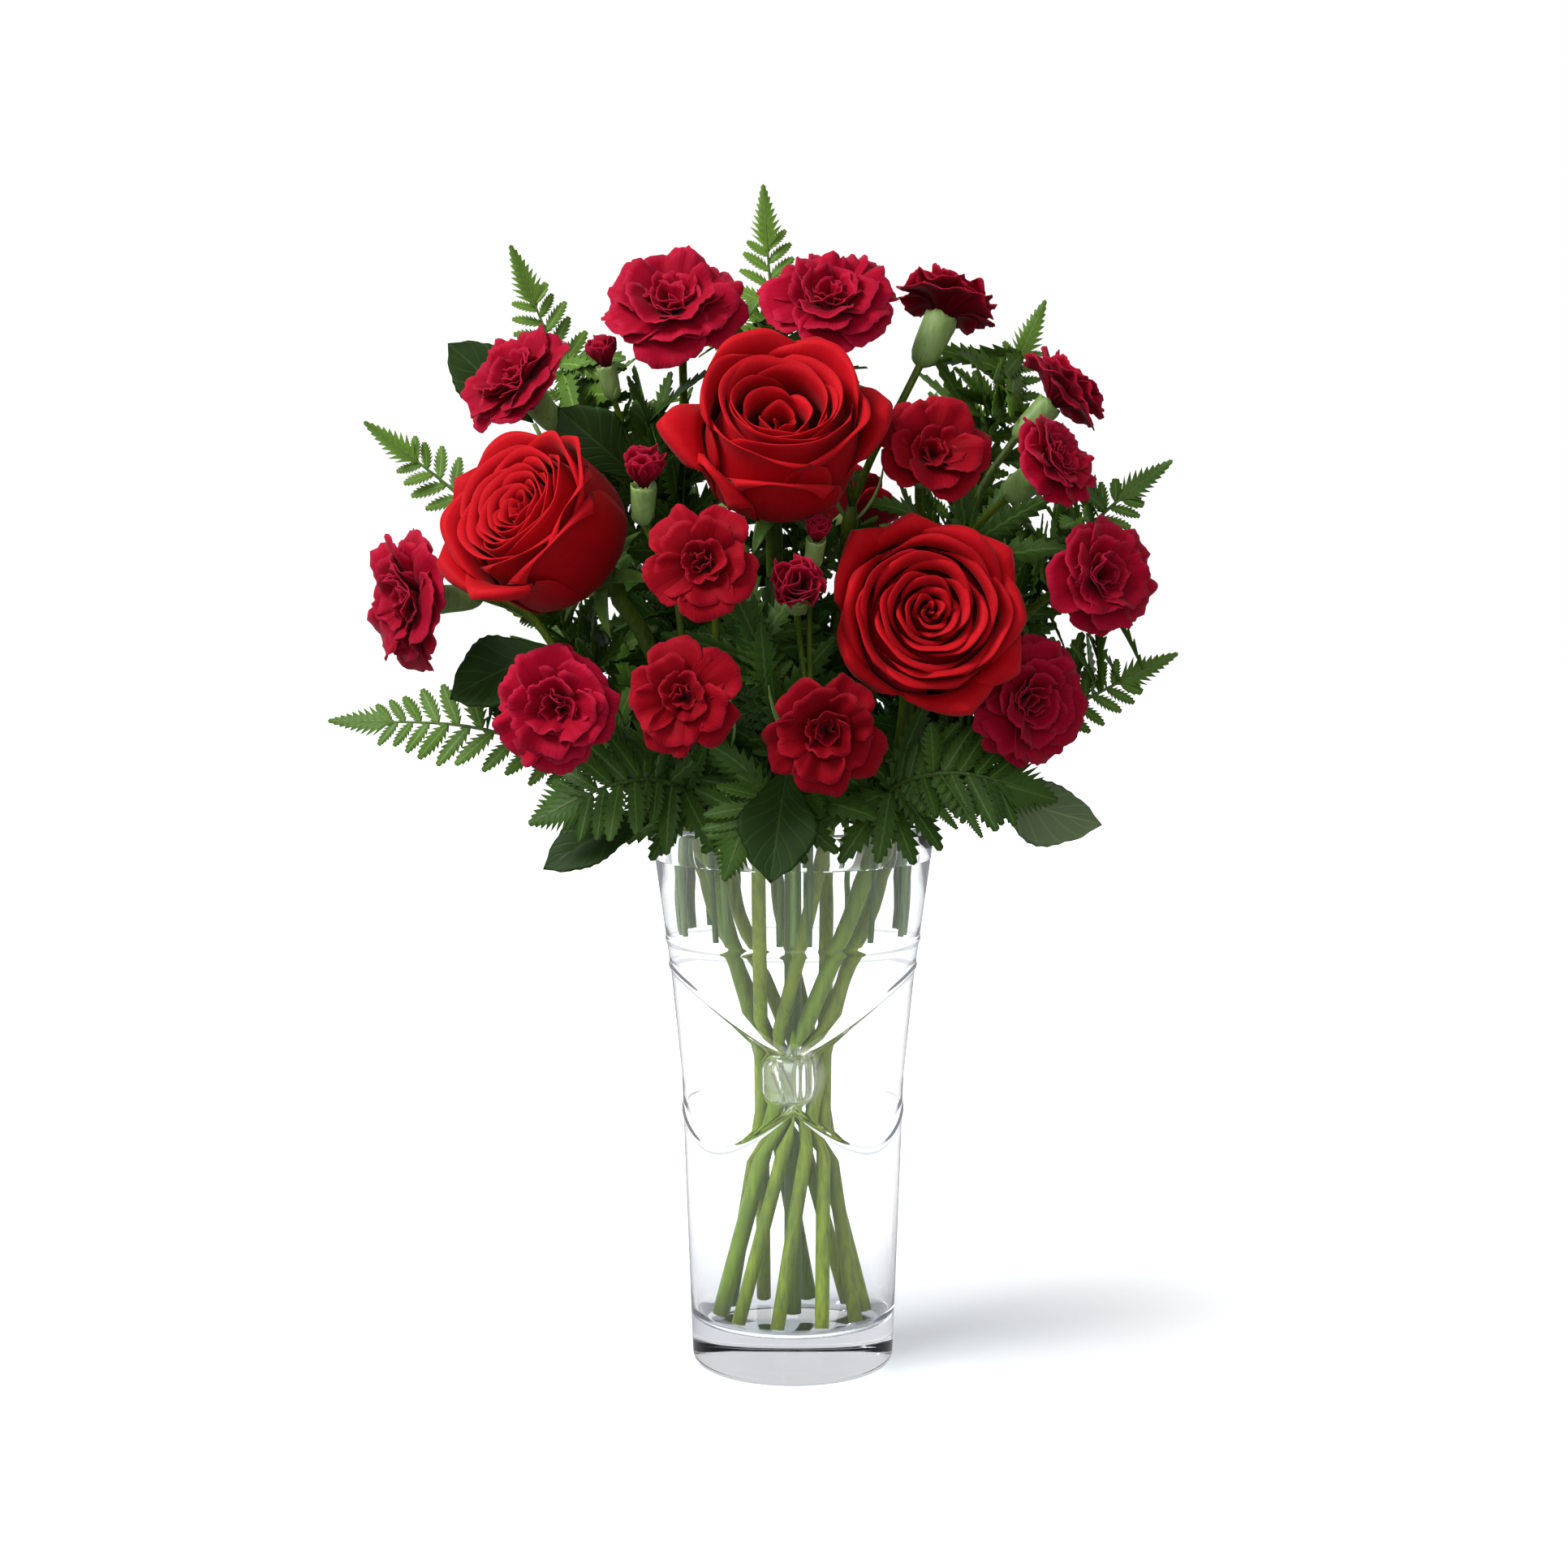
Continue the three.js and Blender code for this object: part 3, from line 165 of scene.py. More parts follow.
# Broad leaves: the stalk's angle at the mouth, points passed, base, tip, half width, the way the top faces
LEAVES = {
    "upper_left": (151, ((-46, 22, 260),), (-54, -40, 328), (-82, -50, 352), 12, (0.3, -0.9, -0.3)),
    "far_left": (162, ((-62, 24, 280),), (-96, 14, 350), (-127, 8, 379), 12, (0, -1, 0.2)),
    "mid_left": (198, ((-58, -16, 226),), (-80, -36, 268), (-122, -36, 250), 15, (0, -0.8, 0.6)),
    "low_left": (234, ((-38, -40, 212),), (-46, -46, 211), (-88, -52, 191), 11, (0, -0.8, 0.6)),
    "front": (270, ((0, -50, 222),), (-2, -62, 229), (-8, -86, 190), 14, (0, -0.95, 0.3)),
    "low_right": (342, ((52, -20, 214),), (64, -26, 222), (112, -22, 204), 14, (0.1, 0.8, -0.6)),
    "back_left": (119, ((-30, 48, 214),), (-38, 60, 219), (-62, 92, 203), 15, (-0.2, 0.4, 0.9)),
    "back_right": (61, ((30, 50, 214),), (38, 60, 220), (66, 88, 206), 15, (0.2, 0.4, 0.9)),
}


def unit(v):
    v = np.asarray(v, float)
    return v / np.linalg.norm(v)


def units(rows):
    return rows / np.linalg.norm(rows, axis=1)[:, None]


def lerp(a, b, t):
    return a + (b - a) * t


def smooth(t):
    t = np.clip(t, 0, 1)
    return t * t * (3 - 2 * t)


# ---------------------------------------------------------------- camera, floor and light
def build_studio():
    deselect()
    bpy.ops.object.camera_add(location=CAMERA_PLACE)
    camera = bpy.context.object
    camera.name = "camera"
    camera.rotation_euler = (math.radians(90 - CAMERA_DOWN), 0, 0)
    camera.data.lens = CAMERA_LENS
    camera.data.sensor_width = 36
    camera.data.clip_end = 50
    bpy.context.scene.camera = camera
    bpy.context.scene.view_settings.view_transform = "Standard"

    deselect()
    bpy.ops.mesh.primitive_grid_add(x_subdivisions=8, y_subdivisions=8, size=14)
    floor = bpy.context.object
    floor.name = "floor"
    floor.location.z = -0.0002
    dress(floor, floor_finish())

    lamp("key", (-1.15, -0.75, 1.5), (0, 0, 0.2), 0.75, 40)
    lamp("front", (-0.2, -2.2, 0.8), (0, 0, 0.25), 1.4, 13)
    world = bpy.data.worlds.new("studio")
    bpy.context.scene.world = world
    world.use_nodes = True
    world.node_tree.nodes.clear()
    sky = Nodes(world.node_tree)
    unseen, strength = sky.dimmer(0.1, 0.32)
    light = sky.node("Background", {"Color": (0.97, 0.98, 1), "Strength": strength})
    wall = sky.node("Background", {"Color": (1, 1, 1), "Strength": 1.0})
    both = sky.node("MixShader", {0: unseen, 1: wall.outputs[0], 2: light.outputs[0]})
    sky.node("OutputWorld", {"Surface": both.outputs[0]})


def lamp(name, place, target, size, power):
    deselect()
    bpy.ops.object.light_add(type="AREA", location=place)
    light = bpy.context.object
    light.name = name
    light.data.size = size
    light.data.energy = power
    light.rotation_euler = (Vector(target) - Vector(place)).to_track_quat("-Z", "Y").to_euler()


# ---------------------------------------------------------------- finishes
class Nodes:
    """A node tree, and short ways to add to it."""

    def __init__(self, tree):
        self.tree = tree

    def feed(self, socket, value):
        """Gives a socket a constant, or links it to another node's output."""
        if isinstance(value, bpy.types.NodeSocket):
            self.tree.links.new(value, socket)
        else:
            socket.default_value = (*value, 1) if socket.type == "RGBA" else value

    def node(self, kind, sockets=None, **settings):
        node = self.tree.nodes.new("ShaderNode" + kind)
        for key, value in settings.items():
            setattr(node, key, value)
        for socket, value in (sockets or {}).items():
            self.feed(node.inputs[socket], value)
        return node

    def math(self, operation, *values):
        return self.node("Math", dict(enumerate(values)), operation=operation).outputs[0]

    def dimmer(self, more, strength):
        """Where the surroundings are only mirrored or light something, and how bright they are there."""
        path = self.node("LightPath").outputs
        unseen = self.math("MAXIMUM", path["Is Diffuse Ray"], path["Is Reflection Ray"])
        return unseen, self.math("MULTIPLY_ADD", path["Is Reflection Ray"], more, strength)


class Finish(Nodes):
    """A material and the nodes that drive its main shader."""

    def __init__(self, name, **values):
        self.material = bpy.data.materials.new(name)
        self.material.use_nodes = True
        super().__init__(self.material.node_tree)
        self.shader = self.tree.nodes["Principled BSDF"]
        self.out = self.tree.nodes["Material Output"].inputs
        for socket, value in values.items():
            self.set(socket.replace("_", " "), value)

    def set(self, socket, value):
        self.feed(self.shader.inputs[socket], value)

    def coordinates(self, kind, scale=(1, 1, 1)):
        place = self.node("TexCoord").outputs[kind]
        return self.node("Mapping", {"Vector": place, "Scale": scale}).outputs["Vector"]

    def axes(self, kind):
        return self.node("SeparateXYZ", {0: self.node("TexCoord").outputs[kind]}).outputs

    def noise(self, vector, scale, detail=3, roughness=0.55):
        sockets = {"Vector": vector, "Scale": scale, "Detail": detail, "Roughness": roughness}
        return self.node("TexNoise", sockets).outputs["Fac"]

    def grain(self, scale, detail=3):
        return self.noise(self.coordinates("Object"), scale, detail)

    def ramp(self, factor, stops):
        ramp = self.node("ValToRGB", {0: factor})
        elements = ramp.color_ramp.elements
        while len(elements) < len(stops):
            elements.new(0.5)
        for element, (place, colour) in zip(elements, stops):
            element.position = place
            element.color = (*colour, 1)
        return ramp.outputs["Color"]

    def mix(self, factor, a, b, blend="MIX"):
        return self.node("Mix", {0: factor, 6: a, 7: b}, data_type="RGBA", blend_type=blend).outputs[2]

    def span(self, value, start, end, low, high, **settings):
        """A value that runs from start to end, as one that runs from low to high."""
        sockets = {"Value": value, "From Min": start, "From Max": end, "To Min": low, "To Max": high}
        return self.node("MapRange", sockets, **settings).outputs[0]

    def tone(self):
        return self.node("Attribute", attribute_name="tone").outputs["Fac"]

    def shaded(self, tone, base, shade):
        """Sets the base colour, deepened where the per-point tone is low; that tone holds random differences
        and painted shade.
        """
        self.set("Base Color", self.mix(tone, self.mix(1.0, base, shade, "MULTIPLY"), base))

    def bump(self, height, strength, distance):
        bump = self.node("Bump", {"Height": height, "Strength": strength, "Distance": distance})
        self.set("Normal", bump.outputs[0])

    def roughness(self, factor, low, high):
        self.set("Roughness", self.span(factor, 0, 1, low, high))

    def blend_with(self, factor, other):
        """Lets another shader take the main one's place by a factor."""
        both = self.node("MixShader", {0: factor, 1: self.shader.outputs[0], 2: other.outputs[0]})
        self.feed(self.out["Surface"], both.outputs[0])


def floor_finish():
    """A white sweep that glows as painted light: weakly near the vase, so that the vase's shadow shows there,
    and more strongly away from it, where the glow washes out shadows.
    """
    look = Finish("pale_floor", Roughness=1.0, Specular_IOR_Level=0.0, Emission_Color=(1, 1, 1))
    look.set("Base Color", look.ramp(look.grain(6), [(0.3, (0.88, 0.885, 0.9)), (0.7, (0.9, 0.905, 0.92))]))
    # painted light: the floor glows more the further it lies from the vase
    away = look.node("VectorMath", {0: look.coordinates("Object")}, operation="LENGTH").outputs["Value"]
    look.set("Emission Strength", look.span(away, 0.05, 0.31, 0.1, 0.86, interpolation_type="SMOOTHSTEP"))
    # what lies round the vase is lit by a dimmer floor, and mirrors a dimmer one
    unseen, strength = look.dimmer(0.08, 0.27)
    look.blend_with(unseen, look.node("Emission", {"Color": (0.96, 0.97, 1), "Strength": strength}))
    return look.material


def petal_finish(name, stops, streaks, sheen, rough, pale):
    """Petal: dark in the heart as painted shade deep in the bloom, brighter to the edge, with fine veins that
    run along it.
    """
    look = Finish(name, Sheen_Weight=sheen, Sheen_Roughness=0.4, Sheen_Tint=pale,
                  Specular_IOR_Level=0.12, Specular_Tint=pale)
    vein = look.noise(look.coordinates("UV", (streaks, 2.2, 1)), 1.0, 4, 0.6)
    shade = look.math("SUBTRACT", look.math("MULTIPLY_ADD", vein, 0.22, look.axes("UV")["Y"]), 0.11)
    look.shaded(look.tone(), look.ramp(shade, stops), (0.42, 0.3, 0.34))
    look.roughness(look.grain(120, 2), rough - 0.08, rough + 0.1)
    look.bump(vein, 0.35, 0.0006)
    return look.material


def glass_finish():
    """Clear glass that greys where it is seen through its depth, and, as painted shade, greys in its colour
    where it is seen edge-on.
    """
    look = Finish("clear_glass", IOR=1.38, Transmission_Weight=1.0, Coat_IOR=2.2, Coat_Roughness=0.22)
    # painted shade: the glass colour greys where its surface is seen edge-on
    facing = look.node("LayerWeight", {"Blend": 0.3}).outputs["Facing"]
    look.set("Base Color", look.ramp(facing, [(0.0, (0.965, 0.97, 0.98)), (0.55, (0.945, 0.95, 0.965)),
                                              (1.0, (0.84, 0.85, 0.88))]))
    look.roughness(look.grain(60, 2), 0.0, 0.02)
    # the knot is fire-polished, and catches more light than the wall
    knot = (0, -outer_radius(KNOT["height"]) * MM, KNOT["height"] * MM)
    away = look.node("VectorMath", {0: look.coordinates("Object"), 1: knot}, operation="DISTANCE")
    look.set("Coat Weight", look.span(away.outputs["Value"], 0.013, 0.009, 0.0, 1.0))
    depth = look.node("VolumeAbsorption", {"Color": (0.66, 0.67, 0.69), "Density": 15})
    look.feed(look.out["Volume"], depth.outputs[0])
    let_light_through(look, (0.88, 0.895, 0.91))
    return look.material


def water_finish():
    look = Finish("still_water", IOR=1.06, Base_Color=(0.985, 0.995, 0.99), Transmission_Weight=1.0)
    look.roughness(look.grain(30, 1), 0.0, 0.01)
    let_light_through(look, (0.955, 0.965, 0.96))
    return look.material


def let_light_through(look, tint):
    """Lamps shine through clear pieces, so that what stands in them is lit."""
    path = look.node("LightPath").outputs
    # light that has been thrown about inside the glass is let out, so that no edge goes black
    trapped = look.math("GREATER_THAN", path["Ray Depth"], MOST_BOUNCES)
    look.blend_with(look.math("MAXIMUM", path["Is Shadow Ray"], trapped),
                    look.node("BsdfTransparent", {"Color": tint}))


def stem_finish(name, dark, light, streak, in_bunch=1.0):
    """Stem: fibres that run up it; in_bunch darkens what stands above the vase, shaded by leaves."""
    look = Finish(name, Specular_IOR_Level=0.28)
    fibre = look.noise(look.coordinates("Object", streak), 1.0, 3)
    patch = look.grain(22, 2)
    factor = look.math("MULTIPLY_ADD", fibre, 0.6, look.math("MULTIPLY", patch, 0.45))
    shade = look.span(look.axes("Object")["Z"], 0.2, 0.225, 1.0, in_bunch)
    look.shaded(look.math("MULTIPLY", look.tone(), shade), look.ramp(factor, [(0.3, dark), (0.72, light)]),
                (0.2, 0.26, 0.17))
    look.roughness(patch, 0.35, 0.6)
    look.bump(fibre, 0.25, 0.0004)
    return look.material


def rib_parts(look, half):
    """How far a point is from the rib, how far along the leaf, and the rib as a narrow band."""
    place = look.axes("UV")
    from_rib = look.math("ABSOLUTE", look.math("SUBTRACT", place["X"], 0.5))
    return from_rib, place["Y"], look.ramp(from_rib, [(0.0, (1, 1, 1)), (half, (0, 0, 0))])


def frond_finish():
    """Fern: leathery green, paler along each leaflet's rib, with faint side veins; mixed from a deep and a
    light green by the per-point tone, which is painted shade for pinnae low and deep in the bunch.
    """
    look = Finish("fern_green", Specular_IOR_Level=0.2)
    from_rib, along, rib = rib_parts(look, 0.075)
    vein = look.math("SINE", look.math("MULTIPLY_ADD", along, 44, look.math("MULTIPLY", from_rib, -26)))
    patch = look.grain(55)
    tone = look.tone()
    deep = look.mix(tone, (0.004, 0.022, 0.002), (0.055, 0.135, 0.01))
    light = look.mix(tone, (0.016, 0.062, 0.004), (0.17, 0.3, 0.032))
    rib_colour = look.mix(tone, (0.05, 0.12, 0.02), (0.24, 0.38, 0.1))
    look.set("Base Color", look.mix(rib, look.mix(patch, deep, light), rib_colour))
    look.roughness(patch, 0.4, 0.62)
    look.bump(vein, 0.15, 0.0002)
    return look.material


def broad_leaf_finish(name, deep, light, rib_colour, gloss):
    """Broad leaf: a pale midrib, side veins that arch to the edge, a fine net between them."""
    look = Finish(name, Specular_IOR_Level=0.13)
    from_rib, along, rib = rib_parts(look, 0.022)
    arch = look.math("MULTIPLY", look.math("POWER", from_rib, 0.7), -24)
    wave = look.math("SINE", look.math("MULTIPLY_ADD", along, 46, arch))
    vein = look.math("POWER", look.math("MULTIPLY_ADD", wave, 0.5, 0.5), 14)
    patch = look.grain(70, 4)
    veined = look.mix(look.math("MULTIPLY", vein, 0.4), look.mix(patch, deep, light), rib_colour)
    look.set("Base Color", look.mix(rib, veined, rib_colour))
    look.roughness(patch, gloss, gloss + 0.16)
    look.bump(vein, 0.5, -0.0003)
    return look.material


# ---------------------------------------------------------------- shaping tools
def deselect():
    bpy.ops.object.select_all(action="DESELECT")


def activate(obj):
    deselect()
    obj.select_set(True)
    bpy.context.view_layer.objects.active = obj


def sheet(across, along):
    """A flat sheet with its own UV map, to be shaped."""
    deselect()
    bpy.ops.mesh.primitive_grid_add(x_subdivisions=across, y_subdivisions=along, size=2, calc_uvs=True)
    return bpy.context.object


def twin(obj):
    other = obj.copy()
    other.data = obj.data.copy()
    bpy.context.scene.collection.objects.link(other)
    return other


def drop(obj):
    mesh = obj.data
    bpy.data.objects.remove(obj)
    bpy.data.meshes.remove(mesh)


def read_points(mesh):
    co = np.empty(len(mesh.vertices) * 3, np.float32)
    mesh.vertices.foreach_get("co", co)
    return co.reshape(-1, 3)


def shape(obj, formula, tone=None):
    """Moves each point of a sheet to the place that a formula gives for it, in millimetres."""
    co = read_points(obj.data)
    points = formula(co[:, 0].astype(float), (co[:, 1].astype(float) + 1) / 2)
    obj.data.vertices.foreach_set("co", (points * MM).astype(np.float32).ravel())
    if tone is not None:
        set_tone_and_shade(obj, tone)
    return obj


# the per-point tone holds each piece's random difference in colour and also painted shade for pieces deep in
# a bloom or in the bunch
def set_tone_and_shade(obj, tone):
    mesh = obj.data
    layer = mesh.attributes.get("tone") or mesh.attributes.new("tone", "FLOAT", "POINT")
    layer.data.foreach_set("value", np.full(len(mesh.vertices), tone, np.float32))
    return obj


def joined(parts):
    deselect()
    for part in parts:
        part.select_set(True)
    bpy.context.view_layer.objects.active = parts[0]
    if len(parts) > 1:
        bpy.ops.object.join()
    return bpy.context.view_layer.objects.active


def thicken(obj, thick):
    activate(obj)
    modifier = obj.modifiers.new("solidify", "SOLIDIFY")
    modifier.thickness = thick * MM
    modifier.offset = 0
    bpy.ops.object.modifier_apply(modifier=modifier.name)


def closed_shells(parts, thick, finish):
    """Sheets as one piece of closed thin shells."""
    obj = joined(parts)
    thicken(obj, thick)
    dress(obj, finish)
    return obj


def dress(obj, *finishes):
    obj.data.materials.clear()
    for finish in finishes:
        obj.data.materials.append(finish)


def weld(obj, reach=1e-5):
    """Merges doubled points and turns every face outwards."""
    activate(obj)
    bpy.ops.object.mode_set(mode="EDIT")
    bpy.ops.mesh.select_all(action="SELECT")
    bpy.ops.mesh.remove_doubles(threshold=reach)
    bpy.ops.mesh.normals_make_consistent(inside=False)
    bpy.ops.object.mode_set(mode="OBJECT")


def finished(obj, name, slot, *nodes):
    """Names a piece, smooths it, hangs it under the root and hides the parts of the model that it stands for.
    """
    activate(obj)
    obj.name = name
    obj.data.name = name
    bpy.ops.object.shade_smooth()
    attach(obj, "root")
    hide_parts(*nodes)


def ring(angle, r, z):
    """Places at angles round the axis, from their distance out and height."""
    return np.stack([r * np.cos(angle), r * np.sin(angle), z], 1)


def swung(turn, out, aside, z):
    """Points out from the axis along one direction and aside from it, as places."""
    c, s = math.cos(turn), math.sin(turn)
    return np.stack([out * c - aside * s, out * s + aside * c, z], 1)


def placed(points, base, axis):
    """Points of a flower's own frame, with its face along +Z, where the flower is."""
    turn = np.array(Vector((0, 0, 1)).rotation_difference(Vector(axis)).to_matrix())
    return points @ turn.T + np.asarray(base, float)


def pipe(lines, finish, turn=4, tone=1.0):
    """Round stems along lines of (points, radii), as one piece."""
    deselect()
    bpy.ops.curve.primitive_nurbs_path_add()
    obj = bpy.context.object
    data = obj.data
    data.splines.clear()
    data.dimensions = "3D"
    data.bevel_depth = MM
    data.bevel_resolution = turn
    data.use_fill_caps = True
    for points, radii in lines:
        spline = data.splines.new("POLY")
        spline.points.add(len(points) - 1)
        for point, place, radius in zip(spline.points, points, radii):
            point.co = (*(np.asarray(place) * MM), 1)
            point.radius = float(radius)
    activate(obj)
    bpy.ops.object.convert(target="MESH")
    obj = bpy.context.object
    dress(obj, finish)
    return set_tone_and_shade(obj, tone)


# ---------------------------------------------------------------- routes of stems and stalks
def catmull(points, ts):
    """Centripetal curve through points, at shares of its length in points."""
    points = np.asarray(points, float)
    n = len(points)
    ends = np.vstack([2 * points[0] - points[1], points, 2 * points[-1] - points[-2]])
    at = np.clip(np.asarray(ts, float), 0, 1) * (n - 1)
    low = np.minimum(at.astype(int), n - 2)
    w = (at - low)[:, None]
    p0, p1, p2, p3 = (ends[low + k] for k in range(4))
    d0, d1, d2 = (np.sqrt(np.linalg.norm(b - a, axis=1))[:, None] for a, b in ((p0, p1), (p1, p2), (p2, p3)))
    t1 = ((p1 - p0) / d0 - (p2 - p0) / (d0 + d1) + (p2 - p1) / d1) * d1
    t2 = ((p2 - p1) / d1 - (p3 - p1) / (d1 + d2) + (p3 - p2) / d2) * d1
    return (p1 + t1 * w + (-3 * p1 + 3 * p2 - 2 * t1 - t2) * w**2 + (2 * p1 - 2 * p2 + t1 + t2) * w**3)


def lane_point(mouth_angle, height):
    up = height > WAIST_HEIGHT
    spread = MOUTH_SPREAD if up else FOOT_SPREAD
    span = VASE_HEIGHT - WAIST_HEIGHT if up else WAIST_HEIGHT - FLOOR_HEIGHT
    side = math.sqrt(spread**2 - WAIST_RADIUS**2) / span * (height - WAIST_HEIGHT)
    mouth_side = math.sqrt(MOUTH_SPREAD**2 - WAIST_RADIUS**2)
    angle = mouth_angle - math.atan2(mouth_side, WAIST_RADIUS) + math.atan2(side, WAIST_RADIUS)
    radius = math.hypot(WAIST_RADIUS, side)
    return np.array([radius * math.cos(angle), radius * math.sin(angle), height])


def lane_points(lane):
    heights = (FLOOR_HEIGHT + STEM_LIFT, WAIST_HEIGHT, VASE_HEIGHT)
    if lane is None:
        return [np.array([0.0, 0, z]) for z in heights]
    return [lane_point(math.radians(lane), z) for z in heights]


def bend_to(start, leave, end, arrive):
    handle = np.linalg.norm(end - start) * 0.35
    out = start + leave * handle
    back = end - arrive * handle
    return [(1 - t)**3 * start + 3 * (1 - t)**2 * t * out + 3 * (1 - t) * t**2 * back + t**3 * end
            for t in (0.35, 0.7)]


class Route:
    def __init__(self, family, points, radius, fixed):
        self.family = family
        self.points = np.array(points, float)
        self.radius = radius
        self.fixed = fixed

    def along(self, start, end, count):
        return catmull(self.points, np.linspace(start, end, count + 1))

    def at(self, share):
        return catmull(self.points, [share])[0]

    @property
    def mouth(self):
        return (self.fixed - 1) / (len(self.points) - 1)


routes = []
balls = []


def add_route(*values):
    route = Route(*values)
    routes.append(route)
    return route


def main_route(family, lane, end, arrive, radius):
    inside = lane_points(lane)
    leave = unit(inside[-1] - inside[-2])
    return add_route(family, [*inside, *bend_to(inside[-1], leave, end, arrive), end], radius, len(inside))


class Head:
    def __init__(self, face, looks, radius, kind):
        self.axis = unit(looks)
        self.radius = radius
        self.kind = kind
        self.small = min(1, 0.55 + radius / 45)
        depth = radius * (BUD_DEPTH if kind == "bud" else CARNATION_DEPTH)
        self.base = np.array(face, float) - self.axis * depth
        self.long = CALYX_LONG * self.small
        self.wide = CALYX_WIDE * self.small
        self.neck = self.base - self.axis * self.long


roses = {}
sprays = {}
for name, rose in ROSES.items():
    axis = unit(rose["looks"])
    base = np.array(rose["face"], float) - axis * ROSE_DEPTH
    balls.append((name, base + axis * ROSE_DEPTH * 0.55, axis, rose["radius"] + 1, ROSE_DEPTH * 0.58))
    roses[name] = {"axis": axis, "base": base, "radius": rose["radius"],
                   "route": main_route(name, rose["lane"], base, axis, ROSE_STEM_RADIUS)}
for name, (lane, fork, heads) in SPRAYS.items():
    fork = np.array(fork, float)
    aim = np.zeros(3)
    made = {key: Head(*values) for key, values in heads.items()}
    for head in made.values():
        balls.append((name, head.base + head.axis * head.radius * 0.35, head.axis, head.radius,
                      head.radius * 0.55))
        balls.append((name, (head.base + head.neck) / 2, head.axis, head.wide, head.long / 2))
        aim += unit(head.neck - fork)
    aim = unit(aim)
    trunk = main_route(name, lane, fork, aim, SPRAY_STEM_RADIUS)
    for head in made.values():
        leave = unit(unit(head.neck - fork) + aim)
        head.route = add_route(name, [fork, *bend_to(fork, leave, head.neck, head.axis), head.neck],
                               BRANCH_RADIUS, 1)
    sprays[name] = {"trunk": trunk, "heads": made}


def green_route(name, lane, path, end):
    angle = math.radians(lane)
    way = np.array([math.cos(angle), math.sin(angle)])
    foot = (*(way * (GREEN_SPREAD - GREEN_LEAN)), GREEN_FOOT)
    rim = (*(way * GREEN_SPREAD), VASE_HEIGHT + RIM_CLEARANCE)
    return add_route(name, [foot, rim, *path, end], STALK_RADIUS, 2)


frond_routes = {name: green_route("frond " + name, *values[:3]) for name, values in FRONDS.items()}
leaf_routes = {name: green_route("leaf " + name, *values[:3]) for name, values in LEAVES.items()}

SAMPLES = 28
ROUNDS = 80
ELBOW_ROOM = 1.2
PUSH_OUT = 4


def settle():
    """Pushes routes apart from each other and from the heads, a little at a time."""
    ts = np.arange(SAMPLES + 1) / SAMPLES
    weights = []
    for route in routes:
        n = len(route.points)
        at = ts * (n - 1)
        low = np.floor(at).astype(int)
        w = np.zeros((SAMPLES + 1, n))
        for i, (k, share) in enumerate(zip(low, at - low)):
            w[i, k] += 1 - share
            if k + 1 < n:
                w[i, k + 1] += share
        w[:, :route.fixed] = 0
        w[:, n - 1] = 0
        weights.append(w[1:])
    families = [route.family for route in routes]
    for _ in range(ROUNDS):
        lines = [catmull(route.points, ts)[1:] for route in routes]
        lows = [line.min(0) for line in lines]
        highs = [line.max(0) for line in lines]
        pushes = [np.zeros((SAMPLES, 3)) for _ in routes]
        for a in range(len(routes)):
            for b in range(a + 1, len(routes)):
                need = routes[a].radius + routes[b].radius + ELBOW_ROOM
                if families[a] == families[b]:
                    continue
                if np.any(lows[a] > highs[b] + need) or np.any(lows[b] > highs[a] + need):
                    continue
                between = lines[a][:, None] - lines[b][None]
                gap = np.sqrt((between**2).sum(2))
                close = (gap < need) & (gap > 1e-6)
                if not close.any():
                    continue
                push = np.where(close, (need - gap) / np.maximum(gap, 1e-9) / 2, 0)[..., None] * between
                pushes[a] += push.sum(1)
                pushes[b] -= push.sum(0)
            margin = routes[a].radius + ELBOW_ROOM
            for family, middle, axis, wide, deep in balls:
                if family == families[a]:
                    continue
                away = lines[a] - middle
                along = away @ axis
                across = np.linalg.norm(away - along[:, None] * axis, axis=1)
                inside = np.hypot(along / (deep + margin), across / (wide + margin))
                hit = inside < 1
                if hit.any():
                    pushes[a] += np.where(hit, (1 - inside) * PUSH_OUT, 0)[:, None] * units(away)
        for route, w, push in zip(routes, weights, pushes):
            route.points += w.T @ push


settle()


# ---------------------------------------------------------------- vase and water
def outer_radius(height):
    rs, zs = zip(*OUTER_WALL)
    return np.interp(height, zs, rs)


def inner_radius(height):
    return outer_radius(height) - lerp(WALL_THICK_LOW, WALL_THICK_HIGH, np.asarray(height) / VASE_HEIGHT)


def sash_top(from_front):
    rise = np.sin(np.minimum(from_front / math.radians(SASH_TOP["backDegrees"]), 1) * math.pi / 2)
    return lerp(SASH_TOP["front"], SASH_TOP["back"], rise ** SASH_TOP["bow"])


def sash_low(from_front):
    dip = math.radians(SASH_LOW["dipDegrees"])
    back = math.radians(SASH_LOW["backDegrees"])
    near = lerp(SASH_LOW["front"], SASH_LOW["dip"], np.sin(np.minimum(from_front / dip, 1) * math.pi / 2))
    far = lerp(SASH_LOW["dip"], SASH_LOW["back"], smooth((from_front - dip) / (back - dip)))
    return np.where(from_front < dip, near, far)


def wall_line():
    """Rows of the outer wall, each as heights at angles from the front, from the foot up."""

    def flat(height):
        return lambda a: np.full_like(a, height)

    def moved(line, up):
        return lambda a: line(a) + up

    def between(low, high, count):
        return [lambda a, t=t: lerp(low(a), high(a), t) for t in np.linspace(0, 1, count + 2)[1:-1]]

    def bead(middle):
        return [moved(middle, up) for up in np.linspace(-BEAD_HALF, BEAD_HALF, 9)]

    return [
        *map(flat, (4, 12, 24, 38, 52, 64, 74)),
        *between(flat(74), moved(sash_low, -BEAD_HALF), 2), *bead(sash_low),
        *between(moved(sash_low, BEAD_HALF), moved(sash_top, -BEAD_HALF), 24), *bead(sash_top),
        *between(moved(sash_top, BEAD_HALF), flat(RING_HEIGHT - BEAD_HALF), 5), *bead(flat(RING_HEIGHT)),
        *map(flat, (166, 175, 184, 193, 200)),
    ]


